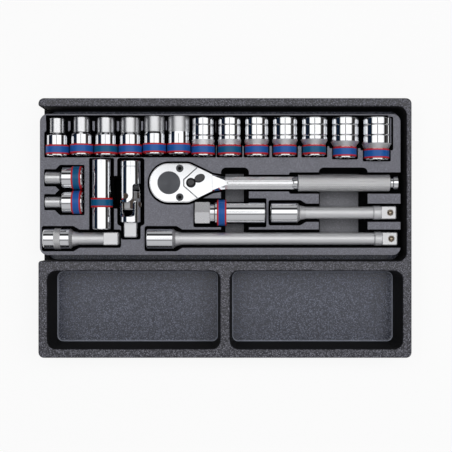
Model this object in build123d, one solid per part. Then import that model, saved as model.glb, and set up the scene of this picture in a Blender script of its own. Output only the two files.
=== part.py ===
from build123d import *
import math
import os

# A half-inch drive socket wrench set in a two-level moulded tray, in millimetres, +Z up.
# The carrier tray stands on Z = 0. The insert tray stands in its large pocket and holds the tools,
# each in a pocket of its own outline. The origin is the middle of the carrier's underside.

# Square drive that every tool shares
DRIVE_SQUARE = 12.7
DRIVE_PLAY = 0.15
DRIVE_LENGTH = 14.8
DRIVE_RECESS = 16.0
DRIVE_TIP_CHAMFER = 1.0
DRIVE_EDGE = 0.7
DRIVE_MOUTH_CHAMFER = 0.9

# Ball and spring that hold a socket on a male square
BALL_RADIUS = 3.0
BALL_PROUD = 1.3
BALL_PLAY = 0.06
BALL_LIP = 0.6
BALL_FLARE = 0.45
BALL_FROM_TIP = 6.2
BALL_TRAVEL = 0.85
BALL_HOLE_DEPTH = 9.0
SPRING_WALL = 0.45
SPRING_GAP = 0.1

# Six-point sockets
ROW_SIZES = list(range(10, 23))
SIDE_SIZES = [9, 8]
SOCKET_LENGTH = 38.0
EXTRA_LENGTH = {21: 2.0, 22: 4.0}
SOCKET_WALL = 2.1
SLIM_WALL = 1.2
SLIM_BELOW = 10
DRIVE_END_DIAMETER = 22.0
EXTRA_DRIVE_END = {22: 2.0}
HEX_PLAY = 0.12
HEX_DEPTH = 15.0
HEX_MOUTH_CHAMFER = 0.8
THROUGH_BORE = 9.6
THROUGH_BORE_SHARE = 0.86
SLIM_FRONT = 15.0
SLIM_SHOULDER = 2.6
WIDE_TAPER = 5.0
WIDE_TAPER_TO_SLEEVE = 0.4
GROOVE_SHARES = (0.3, 0.79)
GROOVE_WIDTH = 1.3
GROOVE_DEPTH = 0.45
TURNED_CHAMFER = 0.7

# Coloured sleeve round each socket's drive end
SLEEVE_WALL = 0.75
SLEEVE_WIDTH = 9.5
SLEEVE_SETBACK = 1.6
SLEEVE_PLAY = 0.04
SLEEVE_EDGE = 0.25

# Spark plug sockets, with a rubber grip inside. The wide one has a hexagon at its drive end
PLUG_SIZES = (14, 16)
PLUG_LENGTH = 70.0
PLUG_WALL = 1.9
PLUG_SLEEVE_WALLS = (0.9, 1.8)
PLUG_SLEEVE_FROM_DRIVE = 22.0
PLUG_HEX_LENGTH = 15.0
PLUG_HEX_UNDER = 1.3
PLUG_NECK = 4.4
PLUG_NECK_DEPTH = 0.7
PLUG_HEX_DEPTH = 24.0
PLUG_GRIP_LENGTH = 12.0
PLUG_GRIP_WALL = 1.6
PLUG_CAVITY = 46.0

# Extension bars
BAR_LENGTHS = (75, 125, 250)
BAR_HEAD_DIAMETER = 21.0
BAR_HEAD_LENGTH = 26.0
BAR_TAPER = 9.0
BAR_SHAFT_DIAMETER = 12.4
BAR_COLLAR_DIAMETER = 14.0
BAR_COLLAR_LENGTH = 8.5
BAR_GRIP_GROOVES = (11.0, 13.4, 15.8)
BAR_GRIP_WIDTH = 1.2
BAR_GRIP_DEPTH = 0.4

# Universal joint
YOKE_DIAMETER = 21.5
YOKE_SOCKET_TO_PIN = 35.5
YOKE_PIN_TO_FOOT = 18.0
YOKE_EAR_HALF_WIDTH = 6.6
YOKE_EAR_FILLET = 3.0
YOKE_SLOT = 12.2
YOKE_ROOM = 12.2
YOKE_ROLL = 24.0
YOKE_GROOVE_AT = 5.6
YOKE_GROOVE_WIDTH = 1.0
YOKE_GROOVE_DEPTH = 0.35
PIN_OFFSET = 8.4
CROSS_BLOCK = 11.6
CROSS_BLOCK_PAST_PIN = 5.2
CROSS_BLOCK_CHAMFER = 1.6
CROSS_PIN_RADIUS = 2.8
PIN_PLAY = 0.05
PIN_SHORT_OF_EAR = 0.35

# Ratchet head
HEAD_RADIUS = 19.5
HEAD_STRAIGHT = 20.0
HEAD_NECK_AT = 43.0
HEAD_NECK_WIDTH = 16.6
HEAD_DROP = 8.0
HEAD_DECK = 7.0
HEAD_LEDGE = 6.0
HEAD_EDGE = 1.2
COVER_TOP = 8.0
COVER_GAP = 0.06
COVER_INSET = 0.5
COVER_EDGE = 0.35
NOTCH_EDGE = 0.8
NOTCH_AT = 15.2
NOTCH_HALF = 3.0
NOTCH_REACH = 31.0
NOTCH_SPREAD = 17.0
SCREW_AT = (10.8, 14.3)
SCREW_HEAD_RADIUS = 3.7
SCREW_RADIUS = 1.8
SCREW_HEXAGON = 2.0
SCREW_LENGTH = 8.0
SCREW_PLAY = 0.06
SCREW_RECESS = 1.0

# Ratchet gear, pawl and reversing lever
GEAR_TEETH = 36
GEAR_TIP = 13.2
GEAR_ROOT = 12.2
GEAR_LOW = -5.3
GEAR_HIGH = 3.3
GEAR_HUB_RADIUS = 11.2
GEAR_HUB_BELOW_COVER = 0.1
GEAR_BOSS_RADIUS = 9.6
GEAR_BOSS_PROUD = 1.0
GEAR_PLAY = 0.1
GEAR_ROOM = 0.6
PAWL_AT = 21.9
PAWL_TIP_RADIUS = 13.25
PAWL_TIP_ANGLE = 27.4
PAWL_TIP_SPREAD = 6.5
PAWL_FACE_RADIUS = 15.0
PAWL_ROCK = 4.6
PAWL_HUB_RADIUS = 5.0
PAWL_HEEL = 9.6
PAWL_ROOM = 1.0
PAWL_PLAY = 0.2
LEVER_ANGLE = 27.0
LEVER_SHAFT_RADIUS = 3.0
LEVER_PLAY = 0.06
LEVER_KNOB_RADIUS = 4.9
LEVER_KNOB_HEIGHT = 3.6
LEVER_KNOB_EDGE = 2.6
LEVER_TAB_REACH = 9.7
LEVER_TAB_LENGTH = 11.2
LEVER_TAB_WIDTH = 8.0
LEVER_TAB_HEIGHT = 3.0
LEVER_LIFT = 0.2

# Ratchet handle
RATCHET_LENGTH = 249.2
SHANK_WIDTH = 12.5
SHANK_HEIGHT = 11.0
SHANK_FLAT = 4.8
SHANK_BEVEL = 2.9
CHANNEL_WIDTH = 3.4
CHANNEL_DEPTH = 0.5
CHANNEL_SLOPE = 40.0
CHANNEL_LEAD = 2.0
CHANNEL_SHORT_OF_GRIP = 3.5
NECK_HEIGHT = 14.6
NECK_FLAT = 15.0
NECK_BEVEL = 1.4
NECK_LENGTH = 13.0
GRIP_DIAMETER = 17.1
GRIP_LENGTH = 93.0
GRIP_CONE = 10.0
GRIP_KNURL = 0.3
GRIP_GROOVE = 2.2
GRIP_GROOVE_DEPTH = 2.6
GRIP_KNOB = 6.6
GRIP_KNOB_DIAMETER = 14.2
GRIP_EDGE = 0.8

# Insert tray
INSERT_WALL = 2.0
INSERT_CORNER = 8.0
INSERT_EDGE = 1.0
AXIS_BELOW_TOP = 2.0
SEAT_GAP = 0.12
SOCKET_ROOM = 1.2
WIDE_FRONT_ROOM = 1.6
TOOL_ROOM = 2.2
PLUG_ROOM = 1.5
JOINT_SWING_ROOM = 0.9
GRIP_POCKET_LEAD = 6.0
DRIVE_TIP_ROOM = 6.7
DRIVE_WELL_ROOM = 3.0
LEFT_LIP = 6.0

# Places in the insert tray: lands between pockets, and the finger wells
ROW_FRONT_MARGIN = 4.5
ROW_SIDE_MARGIN = 5.6
ROW_END_MARGIN = 8.0
ROW_CLOSE_GAP = 0.75
ROW_WIDE_GAP = 2.6
ROW_RELIEF = 3.0
ROW_RIB = 2.2
ROW_SLIDE = {11: 1.0, 12: 0.5, 13: 0.5, 14: 1.6, 15: 1.6}
SIDE_ROW_LAND = 9.8
PLUG_LAND = 3.2
JOINT_LAND = 4.5
SIDE_TO_PLUG = 8.2
PLUG_TO_JOINT = 8.4
JOINT_TO_RATCHET = 8.2
RATCHET_LAND = 7.3
GRIP_TO_MIDDLE_ROW = 8.1
MIDDLE_TO_BOTTOM_ROW = 6.7
PLUG_TO_BOTTOM_ROW = 3.0
BOTTOM_MARGIN = 6.1
BAR_LEFT_MARGIN = 4.2
LONG_BAR_LEAD = 3.0
PLUG_PAST_HEAD = 45.2
MIDDLE_ROW_LAND = 5.7
RIGHT_MARGIN = 1.8
WELL_TAPER = 8.0
WELL_CORNER = 5.0
WELL_ABOVE_HANDLE = 7.0
LEFT_WELL_WIDTH = 28.0
LEFT_WELL_SHIFT = 5.0
RIGHT_WELL_WIDTH = 49.0
SIDE_WELL_LENGTH = 33.0
SIDE_WELL_FROM_TOP = 15.0
SIDE_WELL_DEPTH = 25.0

# Carrier tray
CARRIER_WALL = 2.5
CARRIER_CORNER = 5.5
CARRIER_EDGE = 1.6
RIM_ABOVE_INSERT = 5.0
RIM_BACK = 8.5
RIM_FRONT = 9.0
RIM_SIDE = 9.0
RIM_BESIDE_INSERT = 5.3
CROSS_BAR = 10.0
DIVIDER = 10.0
COMPARTMENT_DEPTH = 77.5
COMPARTMENT_CORNER = 8.5
COMPARTMENT_FLOOR_EDGE = 2.5
COMPARTMENT_DRAFT = 3.0
GAP_BACK = 6.5
GAP_FRONT = 5.5
GAP_RIGHT = 4.7
GAP_LEFT = 0.5
LEFT_WALL_HEIGHT = 13.0
LEFT_LIP_ABOVE_WALL = 1.5
CUT_OUT_CORNER = 2.7

# Sizes that follow from the ones above
ROOT_3 = math.sqrt(3)
HALF_SQUARE = DRIVE_SQUARE / 2
BALL_HOLE_RADIUS = BALL_RADIUS + BALL_PLAY
BALL_CENTRE = HALF_SQUARE + BALL_PROUD - BALL_RADIUS
BALL_LIP_RADIUS = math.sqrt(BALL_RADIUS**2 - (HALF_SQUARE - BALL_LIP - BALL_CENTRE) ** 2) + BALL_PLAY
WIDE_FRONT = SOCKET_LENGTH - SLEEVE_SETBACK - SLEEVE_WIDTH - WIDE_TAPER_TO_SLEEVE - WIDE_TAPER


def front_diameter(size):
    """Outside of a socket's working end: the hexagon's corners and a wall on each side."""
    wall = SLIM_WALL if size < SLIM_BELOW else SOCKET_WALL
    return (size + HEX_PLAY) * 2 / ROOT_3 + 2 * wall


def drive_end_diameter(size):
    return DRIVE_END_DIAMETER + EXTRA_DRIVE_END.get(size, 0)


def socket_length(size):
    return SOCKET_LENGTH + EXTRA_LENGTH.get(size, 0)


def sleeve_diameter(size):
    return drive_end_diameter(size) + 2 * (SLEEVE_PLAY + SLEEVE_WALL)


def widest(size):
    return max(front_diameter(size), sleeve_diameter(size))


def plug_diameter(size):
    return (size + HEX_PLAY) * 2 / ROOT_3 + 2 * PLUG_WALL


def plug_hexagon(size):
    return plug_diameter(size) - PLUG_HEX_UNDER


def plug_sleeve_wall(size):
    return PLUG_SLEEVE_WALLS[PLUG_SIZES.index(size)]


def plug_sleeve_diameter(size):
    return plug_diameter(size) + 2 * (SLEEVE_PLAY + plug_sleeve_wall(size))


def plug_widest(size):
    corners = plug_hexagon(size) * 2 / ROOT_3 if size == WIDE_PLUG else 0
    return max(plug_sleeve_diameter(size), corners)


SHORT_BAR, MIDDLE_BAR, LONG_BAR = BAR_LENGTHS
SLIM_PLUG, WIDE_PLUG = PLUG_SIZES
YOKE_FOOT = YOKE_SOCKET_TO_PIN + PIN_OFFSET + YOKE_PIN_TO_FOOT
YOKE_LENGTH = YOKE_FOOT + DRIVE_LENGTH

# Across the insert tray, from its left edge
SIDE_ROW_X = ROW_SIDE_MARGIN
SLIM_PLUG_X = SIDE_ROW_X + SOCKET_LENGTH + SIDE_TO_PLUG + plug_diameter(SLIM_PLUG) / 2
JOINT_X = SLIM_PLUG_X + plug_diameter(SLIM_PLUG) / 2 + PLUG_TO_JOINT + YOKE_DIAMETER / 2
RATCHET_LEFT = JOINT_X + YOKE_DIAMETER / 2 + JOINT_TO_RATCHET
GEAR_X = RATCHET_LEFT + HEAD_RADIUS
RATCHET_RIGHT = RATCHET_LEFT + RATCHET_LENGTH
LONG_BAR_X = RATCHET_LEFT - LONG_BAR_LEAD
WIDE_PLUG_RIGHT = RATCHET_LEFT + PLUG_PAST_HEAD + PLUG_LENGTH
MIDDLE_BAR_X = WIDE_PLUG_RIGHT + MIDDLE_ROW_LAND


def row_places():
    """Distance of each row socket's axis from the insert tray's left edge."""
    x = ROW_SIDE_MARGIN + widest(ROW_SIZES[0]) / 2
    places = {ROW_SIZES[0]: x}
    for before, size in zip(ROW_SIZES, ROW_SIZES[1:]):
        slim = front_diameter(size) < sleeve_diameter(size)
        x += (widest(before) + widest(size)) / 2 + (ROW_CLOSE_GAP if slim else ROW_WIDE_GAP)
        places[size] = x
    return places


ROW_X = row_places()
ROW_END = ROW_X[ROW_SIZES[-1]] + widest(ROW_SIZES[-1]) / 2
INSERT_WIDTH = max(
    RATCHET_RIGHT + RIGHT_MARGIN,
    LONG_BAR_X + LONG_BAR + RIGHT_MARGIN,
    MIDDLE_BAR_X + MIDDLE_BAR + RIGHT_MARGIN,
    ROW_END + ROW_END_MARGIN,
)

# Down the insert tray, from its back edge
ROW_FRONT_Y = ROW_FRONT_MARGIN
ROW_DRIVE_Y = ROW_FRONT_Y + SOCKET_LENGTH
RATCHET_Y = ROW_DRIVE_Y + RATCHET_LAND + HEAD_RADIUS
MIDDLE_Y = RATCHET_Y + GRIP_DIAMETER / 2 + GRIP_TO_MIDDLE_ROW + plug_sleeve_diameter(WIDE_PLUG) / 2
SIDE_ROW_Y = {
    SIDE_SIZES[0]: ROW_DRIVE_Y + SIDE_ROW_LAND + widest(SIDE_SIZES[0]) / 2,
}
SIDE_ROW_Y[SIDE_SIZES[1]] = (
    SIDE_ROW_Y[SIDE_SIZES[0]] + (widest(SIDE_SIZES[0]) + widest(SIDE_SIZES[1])) / 2 + ROW_CLOSE_GAP
)
SLIM_PLUG_Y = ROW_DRIVE_Y + PLUG_LAND
JOINT_Y = ROW_DRIVE_Y + JOINT_LAND
BOTTOM_Y = BAR_SHAFT_DIAMETER / 2 + max(
    MIDDLE_Y + plug_sleeve_diameter(WIDE_PLUG) / 2 + MIDDLE_TO_BOTTOM_ROW,
    SLIM_PLUG_Y + PLUG_LENGTH + PLUG_TO_BOTTOM_ROW,
)
INSERT_DEPTH = BOTTOM_Y + BAR_HEAD_DIAMETER / 2 + BOTTOM_MARGIN

# Heights
INSERT_HEIGHT = AXIS_BELOW_TOP + HEAD_DROP + GEAR_BOSS_PROUD + DRIVE_LENGTH + DRIVE_TIP_ROOM + INSERT_WALL
INSERT_TOP = CARRIER_WALL + INSERT_HEIGHT
AXIS_Z = INSERT_TOP - AXIS_BELOW_TOP
CARRIER_HEIGHT = INSERT_TOP + RIM_ABOVE_INSERT

# Carrier tray, and the insert tray's edges in its frame
CARRIER_WIDTH = GAP_LEFT + INSERT_WIDTH + GAP_RIGHT + RIM_BESIDE_INSERT
CARRIER_DEPTH = (
    RIM_BACK + GAP_BACK + INSERT_DEPTH + GAP_FRONT + CROSS_BAR + COMPARTMENT_DEPTH + RIM_FRONT
)
INSERT_LEFT = -CARRIER_WIDTH / 2 + GAP_LEFT
INSERT_BACK = CARRIER_DEPTH / 2 - RIM_BACK - GAP_BACK


def in_tray(x, y, z=AXIS_Z):
    """Place in the part's frame of a point x right of the insert's left edge and y from its back edge."""
    return Pos(INSERT_LEFT + x, INSERT_BACK - y, z)


# Shared ways of making a piece. A tool lies along its own +X, with its working or female end at X = 0.


def turned(points):
    """A solid of revolution about X, from (distance along the axis, radius) points."""
    first, last = points[0], points[-1]
    outline = Polyline((first[0], 0), *points, (last[0], 0), close=True)
    return revolve(make_face(outline), Axis.X)


def sleeve(start, end, inner, outer, edge):
    """A tube about X with its outer edges taken off."""
    body = turned([(start, outer - edge), (start + edge, outer), (end - edge, outer), (end, outer - edge)])
    return body - turned([(start - 1, inner), (end + 1, inner)])


def square_recess(depth):
    """Female square that opens at X = 0, with its mouth chamfered."""
    side = DRIVE_SQUARE + DRIVE_PLAY
    mouth = side / 2 + DRIVE_MOUTH_CHAMFER
    hole = extrude(Plane.YZ * Rectangle(side, side), depth)
    return hole + turned([(-1, mouth + 1), (0, mouth), (mouth, 0.01)])


def male_square(start, length):
    """Male square along X from start, with its long edges and its tip chamfered."""
    square = Rectangle(DRIVE_SQUARE, DRIVE_SQUARE)
    block = extrude(Plane.YZ.offset(start) * chamfer(square.vertices(), DRIVE_EDGE), length)
    return chamfer(block.faces().sort_by(Axis.X)[-1].edges(), DRIVE_TIP_CHAMFER)


def upright(radius, low, high):
    """A round bar about Z between two heights."""
    return extrude(Plane.XY.offset(low) * Circle(radius), high - low)


def ball_hole():
    """Blind hole for the ball and its spring, along Z, that flares in the face of a square about Z = 0."""
    lip_base = HALF_SQUARE - BALL_LIP
    bore = upright(BALL_HOLE_RADIUS, HALF_SQUARE - BALL_HOLE_DEPTH, lip_base)
    flare = Cone(BALL_LIP_RADIUS, BALL_LIP_RADIUS + 2 * BALL_FLARE, 2 * BALL_FLARE)
    return bore + upright(BALL_LIP_RADIUS, lip_base, HALF_SQUARE) + Pos(0, 0, HALF_SQUARE) * flare


def detent_ball():
    return Pos(0, 0, BALL_CENTRE) * Sphere(BALL_RADIUS)


def detent_spring():
    """The spring under the ball, as a tube of its outside and inside diameters."""
    outer = BALL_RADIUS - SPRING_GAP
    inner = outer - SPRING_WALL
    top = BALL_CENTRE - math.sqrt(BALL_RADIUS**2 - inner**2) - SPRING_GAP
    low = HALF_SQUARE - BALL_HOLE_DEPTH
    return upright(outer, low, top) - upright(inner, low - 1, top + 1)


# Six-point sockets and their sleeves


def socket_profile(size):
    """Half profile of a socket: a slim front that steps up to the drive end, or a wide one that tapers."""
    front, drive_end = front_diameter(size) / 2, drive_end_diameter(size) / 2
    length, c = socket_length(size), TURNED_CHAMFER
    points = [(0, front - c), (c, front)]
    if front < sleeve_diameter(size) / 2 - SLEEVE_WALL:
        points += [(SLIM_FRONT, front), (SLIM_FRONT + SLIM_SHOULDER, drive_end)]
    else:
        for share in GROOVE_SHARES:
            place = share * WIDE_FRONT
            middle = place + GROOVE_WIDTH / 2
            points += [(place, front), (middle, front - GROOVE_DEPTH), (place + GROOVE_WIDTH, front)]
        taper_start = WIDE_FRONT + EXTRA_LENGTH.get(size, 0)
        points += [(taper_start, front), (taper_start + WIDE_TAPER, drive_end)]
    return points + [(length - c, drive_end), (length, drive_end - c)]


def socket_body(size):
    length = socket_length(size)
    across = size + HEX_PLAY
    mouth = across / ROOT_3 + HEX_MOUTH_CHAMFER
    hexagon = extrude(Plane.YZ * RegularPolygon(across / 2, 6, major_radius=False), HEX_DEPTH)
    bore = min(THROUGH_BORE, across * THROUGH_BORE_SHARE) / 2
    through = turned([(-1, bore), (length + 1, bore)])
    lead_in = turned([(-1, mouth + 1), (0, mouth), (mouth, 0.01)])
    square = Pos(length, 0, 0) * Rot(0, 0, 180) * square_recess(DRIVE_RECESS)
    return turned(socket_profile(size)) - [hexagon, through, lead_in, square]


def socket_sleeve(size):
    inner = drive_end_diameter(size) / 2 + SLEEVE_PLAY
    end = socket_length(size) - SLEEVE_SETBACK
    return sleeve(end - SLEEVE_WIDTH, end, inner, inner + SLEEVE_WALL, SLEEVE_EDGE)


# Spark plug sockets


def plain_barrel(size):
    """Outside of a plug socket that is round from end to end."""
    radius, c = plug_diameter(size) / 2, TURNED_CHAMFER
    return turned([(0, radius - c), (c, radius), (PLUG_LENGTH - c, radius), (PLUG_LENGTH, radius - c)])


def hexed_barrel(size):
    """Outside of a plug socket with a neck and a hexagon for a spanner at its drive end."""
    radius, c = plug_diameter(size) / 2, TURNED_CHAMFER
    hex_start = PLUG_LENGTH - PLUG_HEX_LENGTH
    neck = plug_hexagon(size) / 2 - PLUG_NECK_DEPTH
    neck_start = hex_start - PLUG_NECK
    front = [(0, radius - c), (c, radius), (neck_start - c, radius)]
    barrel = turned(front + [(neck_start, neck), (hex_start + c, neck)])
    flats = Rot(0, 0, 90) * RegularPolygon(plug_hexagon(size) / 2, 6, major_radius=False)
    spanner = extrude(Plane.YZ.offset(hex_start) * flats, PLUG_HEX_LENGTH)
    corner = plug_hexagon(size) / ROOT_3
    ends = [(hex_start, corner - c), (hex_start + c, corner)]
    ends += [(PLUG_LENGTH - c, corner), (PLUG_LENGTH, corner - c)]
    return barrel + (spanner & turned(ends))


def plug_body(size):
    """A deep socket: the plug enters at X = 0, and the square is at the other end."""
    across = size + HEX_PLAY
    outside = hexed_barrel(size) if size == WIDE_PLUG else plain_barrel(size)
    hexagon = extrude(Plane.YZ * RegularPolygon(across / 2, 6, major_radius=False), PLUG_HEX_DEPTH)
    cavity = turned([(0, across / 2), (PLUG_CAVITY, across / 2)])
    bore = min(THROUGH_BORE, across * THROUGH_BORE_SHARE) / 2
    through = turned([(-1, bore), (PLUG_LENGTH + 1, bore)])
    square = Pos(PLUG_LENGTH, 0, 0) * Rot(0, 0, 180) * square_recess(DRIVE_RECESS)
    return outside - [hexagon, cavity, through, square]


def plug_grip(size):
    """Rubber ring behind the hexagon that holds the plug's porcelain."""
    outer = (size + HEX_PLAY) / 2 - SLEEVE_PLAY
    start = PLUG_HEX_DEPTH + PLUG_GRIP_WALL
    return sleeve(start, start + PLUG_GRIP_LENGTH, outer - PLUG_GRIP_WALL, outer, SLEEVE_EDGE)


def plug_sleeve(size):
    inner = plug_diameter(size) / 2 + SLEEVE_PLAY
    end = PLUG_LENGTH - PLUG_SLEEVE_FROM_DRIVE
    return sleeve(end - SLEEVE_WIDTH, end, inner, inner + plug_sleeve_wall(size), SLEEVE_EDGE)


# Extension bars


def bar_profile(length):
    head, shaft = BAR_HEAD_DIAMETER / 2, BAR_SHAFT_DIAMETER / 2
    collar, c = BAR_COLLAR_DIAMETER / 2, TURNED_CHAMFER
    shoulder = length - DRIVE_LENGTH
    collar_start = shoulder - BAR_COLLAR_LENGTH
    points = [(0, head - c), (c, head)]
    if length == SHORT_BAR:
        for place in BAR_GRIP_GROOVES:
            middle = place + BAR_GRIP_WIDTH / 2
            points += [(place, head), (middle, head - BAR_GRIP_DEPTH), (place + BAR_GRIP_WIDTH, head)]
    points += [(BAR_HEAD_LENGTH, head), (BAR_HEAD_LENGTH + BAR_TAPER / 3, (head + 2 * shaft) / 3)]
    points += [(BAR_HEAD_LENGTH + BAR_TAPER, shaft)]
    if length == SHORT_BAR:
        return points + [(shoulder, shaft)]
    points += [(collar_start, shaft), (collar_start + 2 * c, collar)]
    return points + [(shoulder - c, collar), (shoulder, collar - c)]


def on_square(length, roll):
    """Place of the ball's hole near the tip of a male square, turned round the tool's axis."""
    return Pos(length - BALL_FROM_TIP, 0, 0) * Rot(roll, 0, 0)


def bar_body(length, roll):
    body = turned(bar_profile(length)) + male_square(length - DRIVE_LENGTH, DRIVE_LENGTH)
    return body - [square_recess(DRIVE_RECESS), on_square(length, roll) * ball_hole()]


# Universal joint. Each fork is made along X with its own pin on Z at the origin


def yoke(reach):
    """A fork about X: a round foot from -reach, room for the other fork, and two ears to the pin."""
    radius, half = YOKE_DIAMETER / 2, YOKE_EAR_HALF_WIDTH
    body = turned([(-reach, radius - TURNED_CHAMFER), (-reach + TURNED_CHAMFER, radius), (half, radius)])
    ear = Pos(-YOKE_ROOM / 2, 0) * Rectangle(YOKE_ROOM, 2 * half) + Circle(half)
    plan = ear + Pos(-reach - YOKE_ROOM, 0) * Rectangle(2 * reach, 2 * YOKE_DIAMETER)
    corners = plan.vertices().filter_by(lambda v: abs(v.X + YOKE_ROOM) < 0.01 and abs(v.Y) < radius)
    body &= extrude(fillet(corners, YOKE_EAR_FILLET), YOKE_DIAMETER, both=True)
    half_slot = YOKE_SLOT / 2
    round_end = Plane.XZ * Pos(half_slot - YOKE_ROOM, 0) * Circle(half_slot)
    open_end = Plane.XZ * Pos(half + half_slot - YOKE_ROOM, 0) * Rectangle(2 * half, YOKE_SLOT)
    slot = extrude(round_end + open_end, YOKE_DIAMETER, both=True)
    bore = upright(CROSS_PIN_RADIUS + PIN_PLAY, -radius - 1, radius + 1)
    return body - [slot, bore]


def cross_and_pins():
    """The block between the forks, and a pin for each fork, one behind the other and square to it."""
    reach = math.sqrt((YOKE_DIAMETER / 2) ** 2 - CROSS_PIN_RADIUS**2) - PIN_SHORT_OF_EAR
    length = PIN_OFFSET + 2 * CROSS_BLOCK_PAST_PIN
    block = chamfer(Box(length, CROSS_BLOCK, CROSS_BLOCK).edges(), CROSS_BLOCK_CHAMFER)
    pieces = []
    block = Pos(PIN_OFFSET / 2, 0, 0) * block
    for place in (Pos(0, 0, 0), Pos(PIN_OFFSET, 0, 0) * Rot(90, 0, 0)):
        block -= place * upright(CROSS_PIN_RADIUS + PIN_PLAY, -reach, reach)
        pieces.append(place * upright(CROSS_PIN_RADIUS, -reach, reach))
    return block + pieces


def joint_pieces():
    """Pieces of the universal joint along X, female end at X = 0, rolled as it lies in the tray."""
    at_pin = Pos(YOKE_SOCKET_TO_PIN, 0, 0) * Rot(YOKE_ROLL, 0, 0)
    at_far_pin = at_pin * Pos(PIN_OFFSET, 0, 0) * Rot(90, 0, 0) * Rot(0, 0, 180)
    groove_end = YOKE_GROOVE_AT + YOKE_GROOVE_WIDTH
    groove = sleeve(
        YOKE_GROOVE_AT, groove_end, YOKE_DIAMETER / 2 - YOKE_GROOVE_DEPTH, YOKE_DIAMETER, SLEEVE_EDGE
    )
    socket_end = at_pin * yoke(YOKE_SOCKET_TO_PIN) - [square_recess(DRIVE_RECESS), groove]
    tip = on_square(YOKE_LENGTH, -90)
    square = male_square(YOKE_FOOT, DRIVE_LENGTH)
    return {
        "joint_socket_yoke": socket_end,
        "joint_cross_and_pins": at_pin * cross_and_pins(),
        "joint_drive_yoke": at_far_pin * yoke(YOKE_PIN_TO_FOOT) + square - tip * ball_hole(),
        "joint_ball": tip * detent_ball(),
        "joint_spring": tip * detent_spring(),
    }


# Ratchet, with its gear's axis on Z at the origin and its handle along +X


def head_plan(inset=0.0):
    """Outline of the head: a round nose, straight cheeks and a taper to the neck."""
    r, neck = HEAD_RADIUS - inset, HEAD_NECK_WIDTH / 2 - inset
    cheek = [(0, r), (HEAD_STRAIGHT, r), (HEAD_NECK_AT, neck)]
    cheeks = Polyline(*cheek, *[(x, -y) for x, y in reversed(cheek)])
    nose = ThreePointArc((0, -r), (-r, 0), (0, r))
    face = make_face([cheeks, nose])
    shoulders = face.vertices().filter_by(lambda v: abs(v.X - HEAD_STRAIGHT) < 0.01)
    return fillet(shoulders, HEAD_STRAIGHT / 2)


def lever_notch(grow=0.0):
    """Plan of the V that the lever's deck cuts into the cover."""
    near, half = NOTCH_AT - grow, NOTCH_HALF + grow
    far, spread = NOTCH_REACH - grow, NOTCH_SPREAD + grow
    end = HEAD_NECK_AT + HEAD_RADIUS
    points = [(near, half), (far, spread), (far, 2 * HEAD_RADIUS), (end, 2 * HEAD_RADIUS)]
    return make_face(Polyline(*points, *[(x, -y) for x, y in reversed(points)], close=True))


def shank_section(x, width, height, flat, bevel):
    """Section of the neck or shank at a distance along X: a flat, and a bevel of a height on each side."""
    w, h = width / 2, height / 2
    points = [(w, h - bevel), (flat / 2, h), (-flat / 2, h), (-w, h - bevel)]
    points += [(-a, -b) for a, b in points]
    return Plane.YZ.offset(x) * make_face(Polyline(*points, close=True))


def shank_channels(start, end):
    """Shallow channel along the shank's upper and lower flats, with round ends and sloping sides."""
    plan = Pos((start + end) / 2, 0, 0) * SlotOverall(end - start, CHANNEL_WIDTH)
    flat = Plane.XY.offset(SHANK_HEIGHT / 2) * plan
    cut = extrude(flat, -CHANNEL_DEPTH, taper=CHANNEL_SLOPE) + extrude(flat, GRIP_DIAMETER / 2)
    return [cut, Rot(180, 0, 0) * cut]


def handle():
    """Neck, shank, round grip and end knob, as one forging with the head."""
    neck_end = HEAD_NECK_AT + NECK_LENGTH
    tail = RATCHET_LENGTH - HEAD_RADIUS
    knob_start = tail - GRIP_KNOB
    groove_start = knob_start - GRIP_GROOVE
    grip_start = groove_start - GRIP_LENGTH
    grip, knob = GRIP_DIAMETER / 2 - GRIP_KNURL, GRIP_KNOB_DIAMETER / 2
    waist = knob - GRIP_GROOVE_DEPTH / 2
    neck_section = shank_section(HEAD_NECK_AT, HEAD_NECK_WIDTH, NECK_HEIGHT, NECK_FLAT, NECK_BEVEL)
    section = shank_section(neck_end, SHANK_WIDTH, SHANK_HEIGHT, SHANK_FLAT, SHANK_BEVEL)
    neck = loft([neck_section, section], ruled=True)
    shank = extrude(section, grip_start - neck_end)
    grip_bar = turned(
        [
            (grip_start - GRIP_CONE, SHANK_HEIGHT / 2 - GRIP_EDGE),
            (grip_start, grip - GRIP_EDGE),
            (grip_start + GRIP_EDGE, grip),
            (groove_start - GRIP_EDGE, grip),
            (groove_start, grip - GRIP_EDGE),
            (groove_start, waist),
            (knob_start, waist),
            (knob_start, knob - GRIP_EDGE),
            (knob_start + GRIP_EDGE, knob),
            (tail - 2 * GRIP_EDGE, knob),
            (tail, knob - 2 * GRIP_EDGE),
        ]
    )
    channels = shank_channels(neck_end + CHANNEL_LEAD, grip_start - CHANNEL_SHORT_OF_GRIP)
    return neck + shank + grip_bar - channels


def screw_places():
    x, y = SCREW_AT
    return [Pos(x, y, 0), Pos(x, -y, 0)]


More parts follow.
